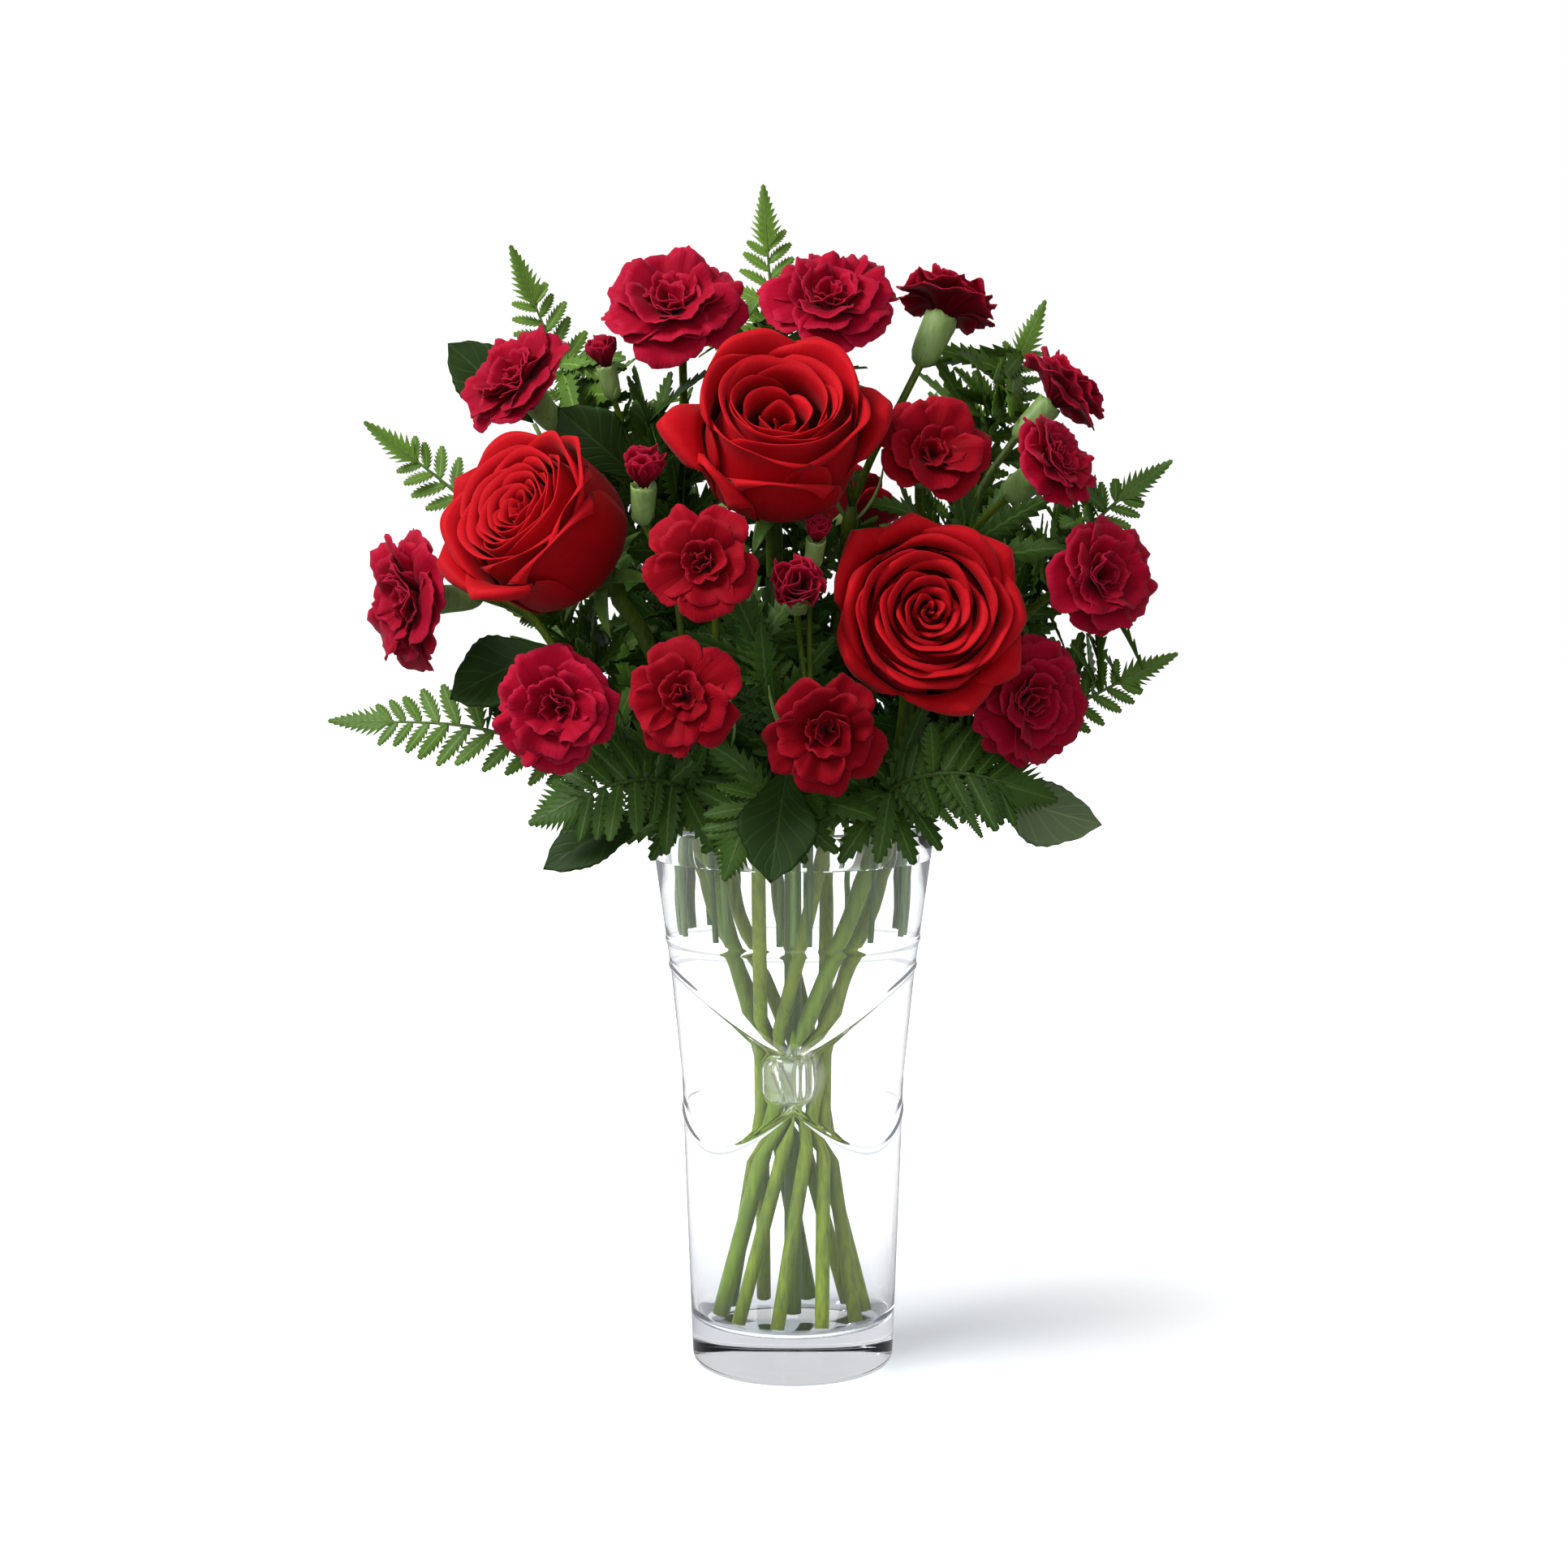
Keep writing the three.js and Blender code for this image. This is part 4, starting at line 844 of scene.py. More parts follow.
def relief(angle, height):
    """How far the wall stands out: the beads as round ribs, the knot as a flattened ball."""
    from_front = np.abs(angle)
    out = np.zeros_like(angle)
    rise = BEAD_RISE * lerp(1.0, 0.4, smooth(np.minimum(from_front / 1.5, 1)))
    for middle, tall in ((sash_low(from_front), rise), (sash_top(from_front), rise), (RING_HEIGHT, 0.4)):
        d = np.clip(np.abs(height - middle) / BEAD_HALF, 0, 1)
        out = np.maximum(out, tall * (1 - d**2) ** 1.6)
    x = outer_radius(height) * np.sin(np.clip(angle, -1.2, 1.2)) / KNOT["width"]
    z = (height - KNOT["height"]) / KNOT["tall"]
    lobe = 1 - (x + 0.2) ** 4 * 0.9 - z**4
    cleft = 0.6 * np.exp(-(((x - 0.28) / 0.13) ** 2)) + 0.3 * np.exp(-(((x + 0.42 + 0.25 * z) / 0.12) ** 2))
    cleft = cleft * np.exp(-(z**4))
    knot = KNOT["thick"] * np.sqrt(np.clip(lobe, 0, 1)) * (1 - cleft) * (1 + 0.05 * np.cos(5 * z + 2 * x))
    return np.maximum(out, np.where((from_front < 0.6) & (lobe > 0), knot, 0))


def build_turned(profile, segments, finish, name, slot, node):
    """A closed round form from a profile of (radius, height) points and rows of the outer wall."""
    count = len(profile)
    obj = sheet(segments, count - 1)

    def wrap(u, v):
        share = (u + 1) / 2
        # steps are finer at the front, where the knot is
        angle = (share - 0.5) * TURN
        angle = angle - 0.55 * np.sin(angle)
        row = np.rint(v * (count - 1)).astype(int)
        points = np.zeros((len(u), 3))
        for k, place in enumerate(profile):
            at = row == k
            a = angle[at]
            if callable(place):
                z = place(np.abs(a))
                r = outer_radius(z) + relief(a, z)
            else:
                r, z = (np.full_like(a, x) for x in place)
            points[at] = np.stack([r * np.sin(a), -r * np.cos(a), z], 1)
        return points

    shape(obj, wrap)
    weld(obj, 2e-5)
    dress(obj, finish)
    finished(obj, name, slot, node)


def inner_line(lift=0.0, floor=FLOOR_HEIGHT, top=VASE_HEIGHT):
    """The inner wall from the middle of the floor up, with a round corner at the floor."""
    line = [(0.0, floor), (12, floor), (24, floor)]
    corner = inner_radius(floor + FLOOR_CORNER) - FLOOR_CORNER + lift
    for k in range(7):
        a = k / 6 * math.pi / 2
        line.append((corner + FLOOR_CORNER * math.sin(a), floor + FLOOR_CORNER * (1 - math.cos(a))))
    for z in (30, 45, 60, 75, 90, 108, 120, 133, 146, 160, 175):
        line.append((inner_radius(z) + lift, z))
    last = min(top, 190)
    line.append((inner_radius(last) + lift, last))
    return line


def build_vase():
    foot = [(0.0, 1.6), (14, 1.5), (26, 1.2), (31, 0.6), (33, 0.1), (34.6, 0.25), (35.9, 1.0), (36.9, 2.3)]
    lip = [(outer_radius(201.5), 201.6), (52.2, 202.6), (51.2, 203.0), (50.2, 202.6), (49.5, 201.5)]
    profile = [*foot, *wall_line(), *lip, *reversed(inner_line())]
    build_turned(profile, 168, glass_finish(), "glass_vase", "vase_glass", "vase")


def build_water():
    overlap = 0.12
    line = inner_line(overlap, FLOOR_HEIGHT - overlap, WATER_LEVEL)
    rim = inner_radius(WATER_LEVEL)
    surface = WATER_LEVEL - 0.7
    top = [(rim - 0.5, WATER_LEVEL - 0.45), (rim - 1.6, surface), (30, surface), (0.0, surface)]
    build_turned([*line, *top], 96, water_finish(), "water_body", "water", "water")


# ---------------------------------------------------------------- carnations
def bent_path(start, bend, length, hub, steps=40):
    """Distance out and height of a petal that leaves the calyx at one lean and bends to another."""
    s = np.linspace(0, 1, steps + 1)
    lean = np.radians(lerp(start, bend, smooth(s * 1.15)))
    step = length / steps
    r = hub + np.concatenate([[0], np.cumsum(np.sin(lean[1:]) * step)])
    z = np.concatenate([[0], np.cumsum(np.cos(lean[1:]) * step)])
    return s, r, z, lean


def carnation_petal(turn, start, bend, length, fan, wave, cup, fold, scallop, hub=1.4, sink=0.0):
    """One fan-shaped petal with a softly scalloped, waved edge, in its flower's frame."""
    s, rs, zs, leans = bent_path(start, bend, length, hub)
    phase, second, third = rng.uniform(0, 1, 3)
    waves = rng.uniform(0.9, 1.6)
    lobes = rng.uniform(2.2, 3.4)
    twist = rng.uniform(-0.16, 0.16)
    lop = rng.uniform(-0.08, 0.08)

    def formula(u, v):
        edge = np.cos(math.pi * (lobes * u + third)) + 0.5 * np.sin(TURN * (lobes * 1.15 * u + second))
        edge = edge + np.where(np.rint((u + 1) * 11) % 2, 0.22, -0.22)
        reach = length * v * (1 - 0.34 * np.clip(np.abs(u) - 0.3, 0, 1) ** 1.7 / 0.55 + lop * u)
        reach = reach * (1 + scallop * edge * np.clip(v - 0.72, 0, 1) / 0.28)
        spread = u * math.radians(fan)
        x = reach * np.sin(spread)
        y = reach * np.cos(spread * 0.75)
        swing = TURN * (waves * u / 2 + phase)
        h = wave * length * v**1.6 * (np.sin(swing) + 0.5 * np.sin(2.3 * swing + second * 6) * v)
        h = h + 0.16 * wave * length * v**3 * np.sin(TURN * (5.2 * u + third))
        h = h + cup * x**2 / length + fold * np.abs(x) * v + twist * x
        x = x + wave * length * 0.5 * v**2 * np.cos(swing)
        share = np.clip(y / length, 0, 1.1)
        r = np.interp(share, s, rs)
        z = np.interp(share, s, zs) + sink
        lean = np.interp(share, s, leans)
        return swung(turn, r - np.cos(lean) * h, x, z + np.sin(lean) * h)

    return formula


# Layers from the outside in: petals, first lean, final lean, length, half fan, wave, cup, scallop
BLOOMS = {
    "full": [
        (6, 22, 108, 1.16, 38, 0.05, -0.05, 0.028),
        (6, 18, 88, 1.12, 39, 0.065, 0.05, 0.03),
        (5, 14, 64, 0.98, 41, 0.08, 0.15, 0.035),
        (5, 10, 42, 0.76, 42, 0.11, 0.25, 0.04),
        (5, 6, 24, 0.58, 42, 0.15, 0.3, 0.05),
    ],
    "cup": [
        (5, 20, 98, 1.2, 36, 0.04, 0.1, 0.02),
        (5, 16, 76, 1.04, 36, 0.05, 0.22, 0.024),
        (4, 12, 50, 0.72, 40, 0.09, 0.4, 0.035),
        (4, 6, 26, 0.5, 42, 0.14, 0.4, 0.05),
    ],
    "bud": [
        (5, 16, 26, 1.42, 46, 0.03, 0.62, 0.03),
        (4, 10, 14, 1.5, 48, 0.05, 0.7, 0.04),
        (3, 4, 4, 1.5, 42, 0.09, 0.6, 0.05),
    ],
}
# Per bloom, how dark its petals are: partly its own colour, partly painted shade on blooms that the light
# reaches less
BLOOM_TONE_AND_SHADE = {"c4": 0.42, "c1": 0.7, "c2": 0.7, "c9": 0.66, "c7": 0.75, "c13": 0.62, "c11": 0.72, "c12": 1.05,
              "c16": 1.02, "c20": 1.1, "c17": 0.95, "c3": 0.7, "c5": 0.7, "c18": 0.6, "c6": 0.5}


def build_carnation(name, head, finish):
    master = sheet(22, 6 if head.kind == "bud" else 8)
    petals = []
    layers = BLOOMS[head.kind]
    for k, (count, start, bend, length, fan, wave, cup, scallop) in enumerate(layers):
        first = rng.uniform(0, TURN)
        inner = k / (len(layers) - 1)
        for i in range(count):
            turn = first + (i + rng.uniform(-0.16, 0.16)) / count * TURN
            lean = bend + rng.uniform(-12, 12) * (0.3 if head.kind == "bud" else 1)
            long = head.radius * length * rng.uniform(0.9, 1.06)
            fold = rng.uniform(-0.05, 0.12) + inner * rng.uniform(0, 0.35)
            formula = carnation_petal(turn, start, lean, long, fan, wave * rng.uniform(0.7, 1.3), cup, fold,
                                      scallop, hub=lerp(1.4, 0.35, inner**2), sink=0.4 + k * 0.5)
            petal = twin(master)
            # inner layers are painted darker, as painted shade deep in the bloom
            shape(petal, lambda u, v: placed(formula(u, v), head.base, head.axis),
                  rng.uniform(0.6, 1.0) * (1 - 0.3 * inner) * BLOOM_TONE_AND_SHADE.get(name, 0.85))
            petals.append(petal)
    drop(master)
    bloom = closed_shells(petals, PETAL_THICK, finish)
    finished(bloom, "bloom_" + name, "carnation_petal", "carnation_" + name)


# ---------------------------------------------------------------- roses
GOLDEN = math.radians(137.5)


def rose_petal(turn, half, middle, edge, sharp, skew):
    """One petal from two side views, (distance out, height) along its middle and along its edges."""
    views = []
    for line in (middle, edge):
        line = catmull([(r, z, 0) for r, z in line], np.linspace(0, 1, 81))[:, :2]
        steps = np.concatenate([[0], np.cumsum(np.linalg.norm(np.diff(line, axis=0), axis=1))])
        views.append((steps / steps[-1], line[:, 0], line[:, 1]))
    wobble = rng.uniform(0, TURN, 3)

    def formula(u, v):
        side = np.abs(u) ** lerp(2.6, sharp, v**3)
        (sm, rm, zm), (se, re, ze) = views
        r = lerp(np.interp(v, sm, rm), np.interp(v, se, re), side)
        z = lerp(np.interp(v, sm, zm), np.interp(v, se, ze), side)
        r = r + skew * u * smooth(v * 1.4)
        r = r + 0.35 * np.sin(3.1 * u + wobble[0]) * v**2 + 0.25 * np.sin(6.5 * u + wobble[1]) * v**4
        z = z + 0.5 * np.sin(4.3 * u + wobble[2]) * v**3
        width = (0.45 + 0.55 * smooth(v / 0.45)) * (1 - 0.45 * np.clip((v - 0.66) / 0.34, 0, 1) ** 3.5)
        return ring(turn + u * half * width, r, z)

    return formula


def foot_line(belly):
    return [(2.0, 0.0), (belly * 0.62, 4.0), (belly * 0.93, 11.0), (belly, 20.0)]


# Per rose: how far it stands up its axis; whorls of inner petals as petals, lip radius, height and
# how far the lip leans out from first to last, half width, fall of the lip to its sides; then outer
# petals: degrees round the face, half width, belly, neck, neck height, tip, tip height, edge, edge
# height, curl, sharpness of the tip (1 is pointed)
ROSE_SHAPES = {
    "right": {
        "lift": 0,
        "whorls": [(19, (1.2, 20.5), (37.5, 41.5), (1.2, 3.0), (122, 80), 6),
                   (6, (22.0, 26.5), (41.0, 39.5), (2.2, 3.0), (78, 66), 6)],
        "outer": [
            (-100, 62, 24.5, 23.0, 33, 26.5, 39.5, 25.5, 33, 1.0, 1.6),
            (178, 52, 25.0, 24.0, 32, 29.0, 38.0, 27.0, 31, 1.5, 1.4),
            (62, 56, 25.5, 24.5, 32, 30.5, 37.5, 28.0, 30, 1.6, 1.5),
            (0, 50, 26.0, 25.5, 31, 32.0, 36.5, 28.5, 28, 2.0, 1.3),
            (103, 44, 26.5, 26.5, 30, 33.5, 34.5, 28.5, 25, 2.5, 1.1),
            (41, 44, 27.0, 27.0, 29, 35.5, 33.0, 29.0, 23, 2.5, 1.0),
            (-30, 46, 27.0, 27.0, 29, 36.0, 33.0, 29.0, 22, 2.5, 1.0),
            (-64, 44, 27.5, 28.0, 28, 37.0, 33.5, 29.5, 22, 2.5, 1.0),
            (-146, 46, 27.0, 27.0, 29, 32.5, 34.0, 28.5, 24, 2.5, 1.1),
            (136, 46, 27.5, 27.5, 28, 36.5, 31.0, 29.5, 21, 3.0, 1.0),
        ],
    },
    "top": {
        "lift": 5,
        "whorls": [(6, (2.5, 12.0), (34.0, 40.0), (0.6, 1.2), (112, 104), 3),
                   (8, (15.5, 21.0), (43.5, 46.5), (1.0, 2.0), (116, 104), 2.5)],
        "outer": [
            (-62, 84, 25.0, 21.5, 39, 23.0, 46.5, 22.5, 44, 0.6, 2.6),
            (160, 62, 25.5, 23.5, 38, 26.5, 48.0, 25.5, 42, 1.0, 2.4),
            (50, 62, 25.5, 24.0, 37, 28.0, 48.5, 26.5, 42, 1.2, 2.4),
            (-118, 70, 26.0, 24.0, 36, 26.0, 44.0, 25.5, 40, 1.2, 2.4),
            (-22, 66, 26.5, 25.0, 36, 28.5, 45.0, 27.0, 40, 1.4, 2.4),
            (112, 54, 26.5, 26.0, 34, 32.0, 47.0, 29.0, 39, 1.8, 2.2),
            (64, 40, 27.0, 26.5, 34, 33.0, 44.5, 29.5, 36, 2.0, 2.0),
            (184, 36, 27.0, 27.0, 30, 41.0, 33.0, 30.0, 26, 3.0, 1.3),
            (12, 44, 27.0, 27.5, 30, 38.0, 37.0, 29.5, 27, 2.4, 1.5),
            (-88, 50, 27.0, 27.0, 28, 29.5, 35.0, 28.5, 27, 1.6, 2.4),
            (-140, 36, 27.3, 28.0, 28, 31.5, 33.0, 29.0, 20, 2.2, 1.6),
        ],
    },
    "left": {
        "lift": 6,
        "whorls": [(24, (1.5, 23.5), (40.0, 45.0), (0.7, 1.6), (120, 98), 2.5)],
        "outer": [
            (-100, 66, 25.0, 23.5, 36, 26.5, 45.0, 25.5, 39, 1.0, 1.8),
            (25, 62, 25.5, 24.5, 36, 28.0, 45.5, 26.5, 39, 1.0, 2.2),
            (150, 60, 25.5, 25.0, 36, 30.5, 45.0, 28.0, 38, 1.4, 1.8),
            (-45, 58, 26.5, 26.0, 35, 30.0, 44.5, 28.0, 37, 1.4, 2.0),
            (85, 54, 26.5, 26.5, 35, 33.0, 44.5, 29.5, 36, 1.6, 2.0),
            (-135, 46, 27.0, 27.5, 33, 36.0, 41.0, 30.0, 33, 2.2, 1.2),
            (180, 46, 27.0, 28.0, 33, 36.0, 41.5, 30.5, 33, 2.2, 1.3),
            (-5, 60, 27.5, 27.5, 34, 31.5, 44.5, 29.5, 38, 1.6, 2.2),
            (122, 46, 27.0, 28.0, 33, 37.0, 42.0, 30.5, 33, 2.2, 1.2),
            (-72, 58, 27.5, 28.0, 33, 31.5, 43.5, 29.5, 36, 1.8, 1.8),
        ],
    },
}


def build_rose(name, flower, finish):
    scale = flower["radius"] / ROSE_SIZE
    shapes = ROSE_SHAPES[name]
    base = flower["base"] + flower["axis"] * shapes["lift"]
    master = sheet(20, 14)
    petals = []

    def add(formula, tone):
        petal = twin(master)
        shape(petal, lambda u, v: placed(formula(u, v), base, flower["axis"]), tone)
        petals.append(petal)

    turn = rng.uniform(0, TURN)
    for count, lips, tops, leans, halves, fall in shapes["whorls"]:
        for k in range(count):
            t = k / (count - 1)
            lip, top, lean = (lerp(*pair, t) for pair in (lips, tops, leans))
            lip *= scale
            belly = min(lip + lerp(5.0, 3.0, t), 25.0 * scale)
            neck = max(lip - lean, 0.6)
            rise = lean * 1.2 + 1.5
            middle = [*foot_line(belly), (lerp(belly, neck, 0.8), 0.72 * top), (neck, top - rise), (lip, top)]
            edge = [*foot_line(belly), (lerp(belly, neck, 0.7), 0.64 * top), (neck, top - fall - rise),
                    (lip - 0.5, top - fall)]
            turn += GOLDEN + rng.uniform(-0.08, 0.08)
            # inner whorls are painted darker, as painted shade in the rose's heart
            add(rose_petal(turn, math.radians(lerp(*halves, t)), middle, edge, 2.2, lerp(0.8, 1.4, t)),
                lerp(0.75, 0.98, t) * rng.uniform(0.92, 1.05))
    for turn, half, belly, neck, neck_z, tip, tip_z, edge_r, edge_z, curl, sharp in shapes["outer"]:
        belly, neck, tip, edge_r = (x * scale for x in (belly, neck, tip, edge_r))
        middle = [*foot_line(belly), (neck, neck_z), (lerp(neck, tip, 0.55), lerp(neck_z, tip_z, 0.72)),
                  (tip, tip_z), (tip + curl * 0.25, tip_z - curl * 0.8)]
        edge = [*foot_line(belly), (lerp(belly, edge_r, 0.4), lerp(20, edge_z, 0.55)), (edge_r, edge_z),
                (edge_r + curl * 0.8, edge_z - curl * 1.2)]
        add(rose_petal(math.radians(turn), math.radians(half), middle, edge, sharp, 0.9),
            rng.uniform(0.85, 1.0))
    drop(master)
    bloom = closed_shells(petals, ROSE_PETAL_THICK, finish)
    finished(bloom, "rose_head_" + name, "rose_petal", "rose_" + name)


# ---------------------------------------------------------------- stems
def stem_line(route, count):
    """Foot to end: straight in the vase, with the bend at the waist rounded."""
    inside = route.points[:route.fixed]
    rounded = [inside[0]]
    if len(inside) == 3:
        foot, waist, mouth = inside
        to_bend = 1 - WAIST_BEND
        near, far = lerp(foot, waist, to_bend), lerp(waist, mouth, WAIST_BEND)
        rounded = [lerp(foot, waist, t * to_bend) for t in np.linspace(0, 1, 6)[:-1]]
        rounded += [(1 - t)**2 * near + 2 * t * (1 - t) * waist + t * t * far
                    for t in np.linspace(0, 1, 7)[:-1]]
        rounded += [lerp(waist, mouth, t) for t in np.linspace(WAIST_BEND, 1, 6)[:-1]]
    return np.array([*rounded, *route.along(route.mouth, 1, count)])


def wrapped(master, line, base, axis, ripple=None):
    """A round hollow form along a head's axis from (radius, height) rows; ripple changes it by angle."""
    rows = np.array(line, float)

    def formula(u, v):
        angle = (u + 1) / 2 * TURN
        at = v * (len(rows) - 1)
        r = np.interp(at, np.arange(len(rows)), rows[:, 0])
        z = np.interp(at, np.arange(len(rows)), rows[:, 1])
        if ripple:
            r, z = ripple(angle, v, r, z)
        return placed(ring(angle, r, z), base, axis)

    return shape(twin(master), formula)


def narrow_leaf(base, forward, up, length, width, curl):
    """A narrow folded leaf that curls back."""
    forward = unit(forward)
    side = unit(np.cross(forward, up))
    lift = np.cross(side, forward)

    def formula(u, v):
        half = width * np.sin(np.pi * np.clip(v * 0.92 + 0.08, 0, 1)) ** 0.7
        bend = curl * v**2 * length
        return (np.asarray(base) + np.outer(v * length * (1 - 0.3 * curl * v), forward)
                + np.outer(u * half, side) + np.outer(-bend + 0.35 * half * np.abs(u), lift))

    return formula


BIG_CALYX = {"c13": 1.25, "c10": 1.2, "c3": 1.15}
# A calyx from above its foot to inside its mouth: radius and height, as shares of its width and length
CALYX = [(0.72, -0.86), (0.9, -0.68), (0.94, -0.45), (0.97, -0.22), (1.0, -0.02), (1.04, 0.12), (0.98, 0.13),
         (0.9, 0.0), (0.5, -0.1)]


def build_spray(name, spray, stem, calyx_finish):
    lines = []
    trunk = stem_line(spray["trunk"], 16)
    radii = np.full(len(trunk), float(SPRAY_STEM_RADIUS))
    radii[-3:] = (SPRAY_STEM_RADIUS * 1.12, SPRAY_STEM_RADIUS * 1.25, 1.6)
    lines.append((trunk, radii))
    cup = sheet(30, 12)
    blade = sheet(2, 8)
    parts = []

    def add_leaf(thick, *values):
        leaf = shape(twin(blade), narrow_leaf(*values))
        thicken(leaf, thick)
        parts.append(leaf)

    for key, head in spray["heads"].items():
        branch = head.route.along(0, 1, 14)
        thin = BRANCH_RADIUS * head.small
        branch = np.vstack([branch, head.base - head.axis * head.long * 0.8])
        radii = np.full(len(branch), thin)
        radii[-2:] = (thin * 1.05, thin * 1.6)
        lines.append((branch, radii))
        size = BIG_CALYX.get(key, 1)
        w, long = head.wide * size, head.long * (0.5 + 0.5 * size)
        rows = [(0.3, -long), (thin * 1.25, -long * 0.98), *((w * r, long * z) for r, z in CALYX),
                (0.3, -long * 0.12)]

        def teeth(angle, v, r, z, long=long):
            edge = np.exp(-(((v - 0.62) / 0.08) ** 2))
            wave = np.abs(np.sin(angle * 2.5))
            return r * (1 + 0.025 * np.cos(angle * 15)), z - edge * (1 - wave) * long * 0.16

        parts.append(wrapped(cup, rows, head.base, head.axis, teeth))
        side = unit(np.cross(head.axis, (0.3, 0.2, 1)))
        for sign in (1, -1):
            add_leaf(0.4, head.base - head.axis * long * 0.96 + side * sign * thin,
                     head.axis * 0.85 + side * sign * 0.55, side * sign, long * 0.45, w * 0.45, 0.15)
    fork = spray["trunk"].points[-1]
    rise = unit(trunk[-1] - trunk[-4])
    side = unit(np.cross(rise, (0.2, 1, 0.1)))
    for sign, long in ((1, 34), (-1, 26)):
        add_leaf(0.5, fork - rise * 6 + side * sign * 1.5, rise * 0.8 + side * sign * 0.6,
                 side * sign, long, 2.1, 0.3)
    drop(cup)
    drop(blade)
    for part in parts:
        dress(part, calyx_finish)
        set_tone_and_shade(part, 0.9)
    whole = joined([pipe(lines, stem, tone=rng.uniform(0.35, 1.0)), *parts])
    weld(whole)
    finished(whole, "spray_stem_" + name, "spray_green", "spray_" + name)


def build_rose_stem(name, flower, stem, sepal_finish):
    route = flower["route"]
    line = stem_line(route, 20)
    base, axis = flower["base"], flower["axis"]
    line = line[np.linalg.norm(line - base, axis=1) > HIP_LONG]
    hip = [base - axis * d for d in (11, 8.5, 6.5, 4.5, 2.4, 0.6)]
    radii = [ROSE_STEM_RADIUS] * len(line) + [3.1, 4.4, 5.4, 5.8, 5.6, 5.0]
    parts = []
    blade = sheet(6, 10)
    for i in range(5):
        turn = (i + 0.5) / 5 * TURN
        droop = rng.uniform(0.7, 1.2)

        def formula(u, v, turn=turn, droop=droop):
            half = 3.4 * np.sin(np.pi * np.clip(v * 0.85 + 0.15, 0, 1)) ** 0.8 * (1 - 0.45 * v)
            r = 3.5 + 18.5 * v
            z = -3.0 + 1.8 * np.sin(v * 2.2) - 6.5 * droop * v**2 + 0.16 * half * u**2
            return placed(swung(turn, r, u * half, z), base, axis)

        parts.append(shape(twin(blade), formula))
    drop(blade)
    sepals = set_tone_and_shade(closed_shells(parts, SEPAL_THICK, sepal_finish), 0.9)
    whole = joined([pipe([([*line, *hip], radii)], stem, 5, rng.uniform(0.5, 1.0)), sepals])
    weld(whole)
    finished(whole, "rose_stalk_" + name, "rose_green", "rose_stem_" + name)


# ---------------------------------------------------------------- ferns and broad leaves
def oval(t):
    return np.sin(math.pi * t**0.8) ** 0.7


def lance(t):
    return 2.05 * np.maximum(t, 0.012) ** 0.42 * np.maximum(1 - t, 0) ** 0.85


def toothed(line, faces, half, depth):
    """A blade along a rib: its edge is cut into teeth that lean to the tip, and it is folded a little."""
    count = len(line) - 1
    forward = units(np.gradient(line, axis=0))
    side = units(np.cross(forward, faces))
    lift = np.cross(side, forward)
    tooth = np.arange(count + 1) % 2
    half = np.where(tooth, half, half * (1 - depth))
    half[-1] = 0

    def formula(u, v):
        row = np.rint(v * count).astype(int)
        out = u * half[row]
        points = line[row] + side[row] * out[:, None]
        points += forward[row] * (np.abs(out) * (0.3 + 0.35 * tooth[row]))[:, None]
        return points + lift[row] * (0.2 * np.abs(out))[:, None]

    return formula


def rib_line(place, out, look, length, droop, count):
    reach = np.linspace(0, length, count)
    return place + np.outer(reach, out) - np.outer(droop * reach**2 / length, look)


LEAFLET_ROWS = 8
PINNA_ROWS = 16
TIP_ROWS = 20
LOWER_PINNAE = {"upper_left": 110, "mid_left": 110, "top": 90, "top_right": 100, "mid_right": 80,
                "upper_right": 70, "left": 80, "lower_left": 80}


def add_lateral(parts, masters, place, out, look, length, tone):
    """One leaflet, or further down the frond a pinna that is cut into lobes."""
    small = length < 9.5
    rows = LEAFLET_ROWS if small else PINNA_ROWS
    line = rib_line(place, out, look, length, rng.uniform(0.02, 0.16), rows + 1)
    t = np.linspace(0, 1, len(line))
    if small:
        half, depth = length * 0.265 * oval(t) + 0.25, 0.2
    else:
        half, depth = length * 0.2 * lance(t) + 0.4, 0.6 - 0.4 * t
    blade = twin(masters[0] if small else masters[1])
    parts.append(shape(blade, toothed(line, look, half, depth), tone * rng.uniform(0.82, 1.18)))


def add_fern_blade(parts, masters, line, faces, width, tone, spread=0.32, spacing=1.0):
    """A toothed tip and leaflets below it, longer and further apart down to the foot."""
    line = np.asarray(line)
    steps = np.linalg.norm(np.diff(line, axis=0), axis=1)
    reach = np.concatenate([[0], np.cumsum(steps)])
    whole = reach[-1]

    def on_line(at):
        return np.stack([np.interp(at, reach, line[:, k]) for k in range(3)], -1)

    tip = min(25, whole * 0.42)
    t = np.linspace(0, 1, TIP_ROWS + 1)
    away = tip * (1 - t)
    half = np.minimum(spread * away * 0.9 + 0.5, width) * (0.12 + 0.88 * smooth(np.minimum(t / 0.2, 1)))
    depth = lerp(0.68, 0.18, t)
    blade = twin(masters[2])
    parts.append(shape(blade, toothed(on_line(whole - away), faces, half, depth), tone))
    at = whole - tip + 1.5
    hand = 1
    while at > 1:
        away = whole - at
        long = min(width * 1.2, spread * away * 1.08 + 1.2) * min(1, 0.55 + at / whole)
        place = on_line(at)
        forward = unit(on_line(at + 0.5) - on_line(at - 0.5))
        side = unit(np.cross(forward, faces))
        out = unit(side * hand + forward * lerp(0.85, 0.4, away / whole) + rng.normal(0, 0.06, 3))
        look = unit(faces + rng.normal(0, 0.16, 3))
        add_lateral(parts, masters, place, out, look, long * rng.uniform(0.9, 1.08), tone)
        hand = -hand
        at -= (0.19 * long + 0.7) * spacing


def in_vase(points, top, wide):
    return np.any((points[:, 2] < top) & (np.hypot(points[:, 0], points[:, 1]) < wide))


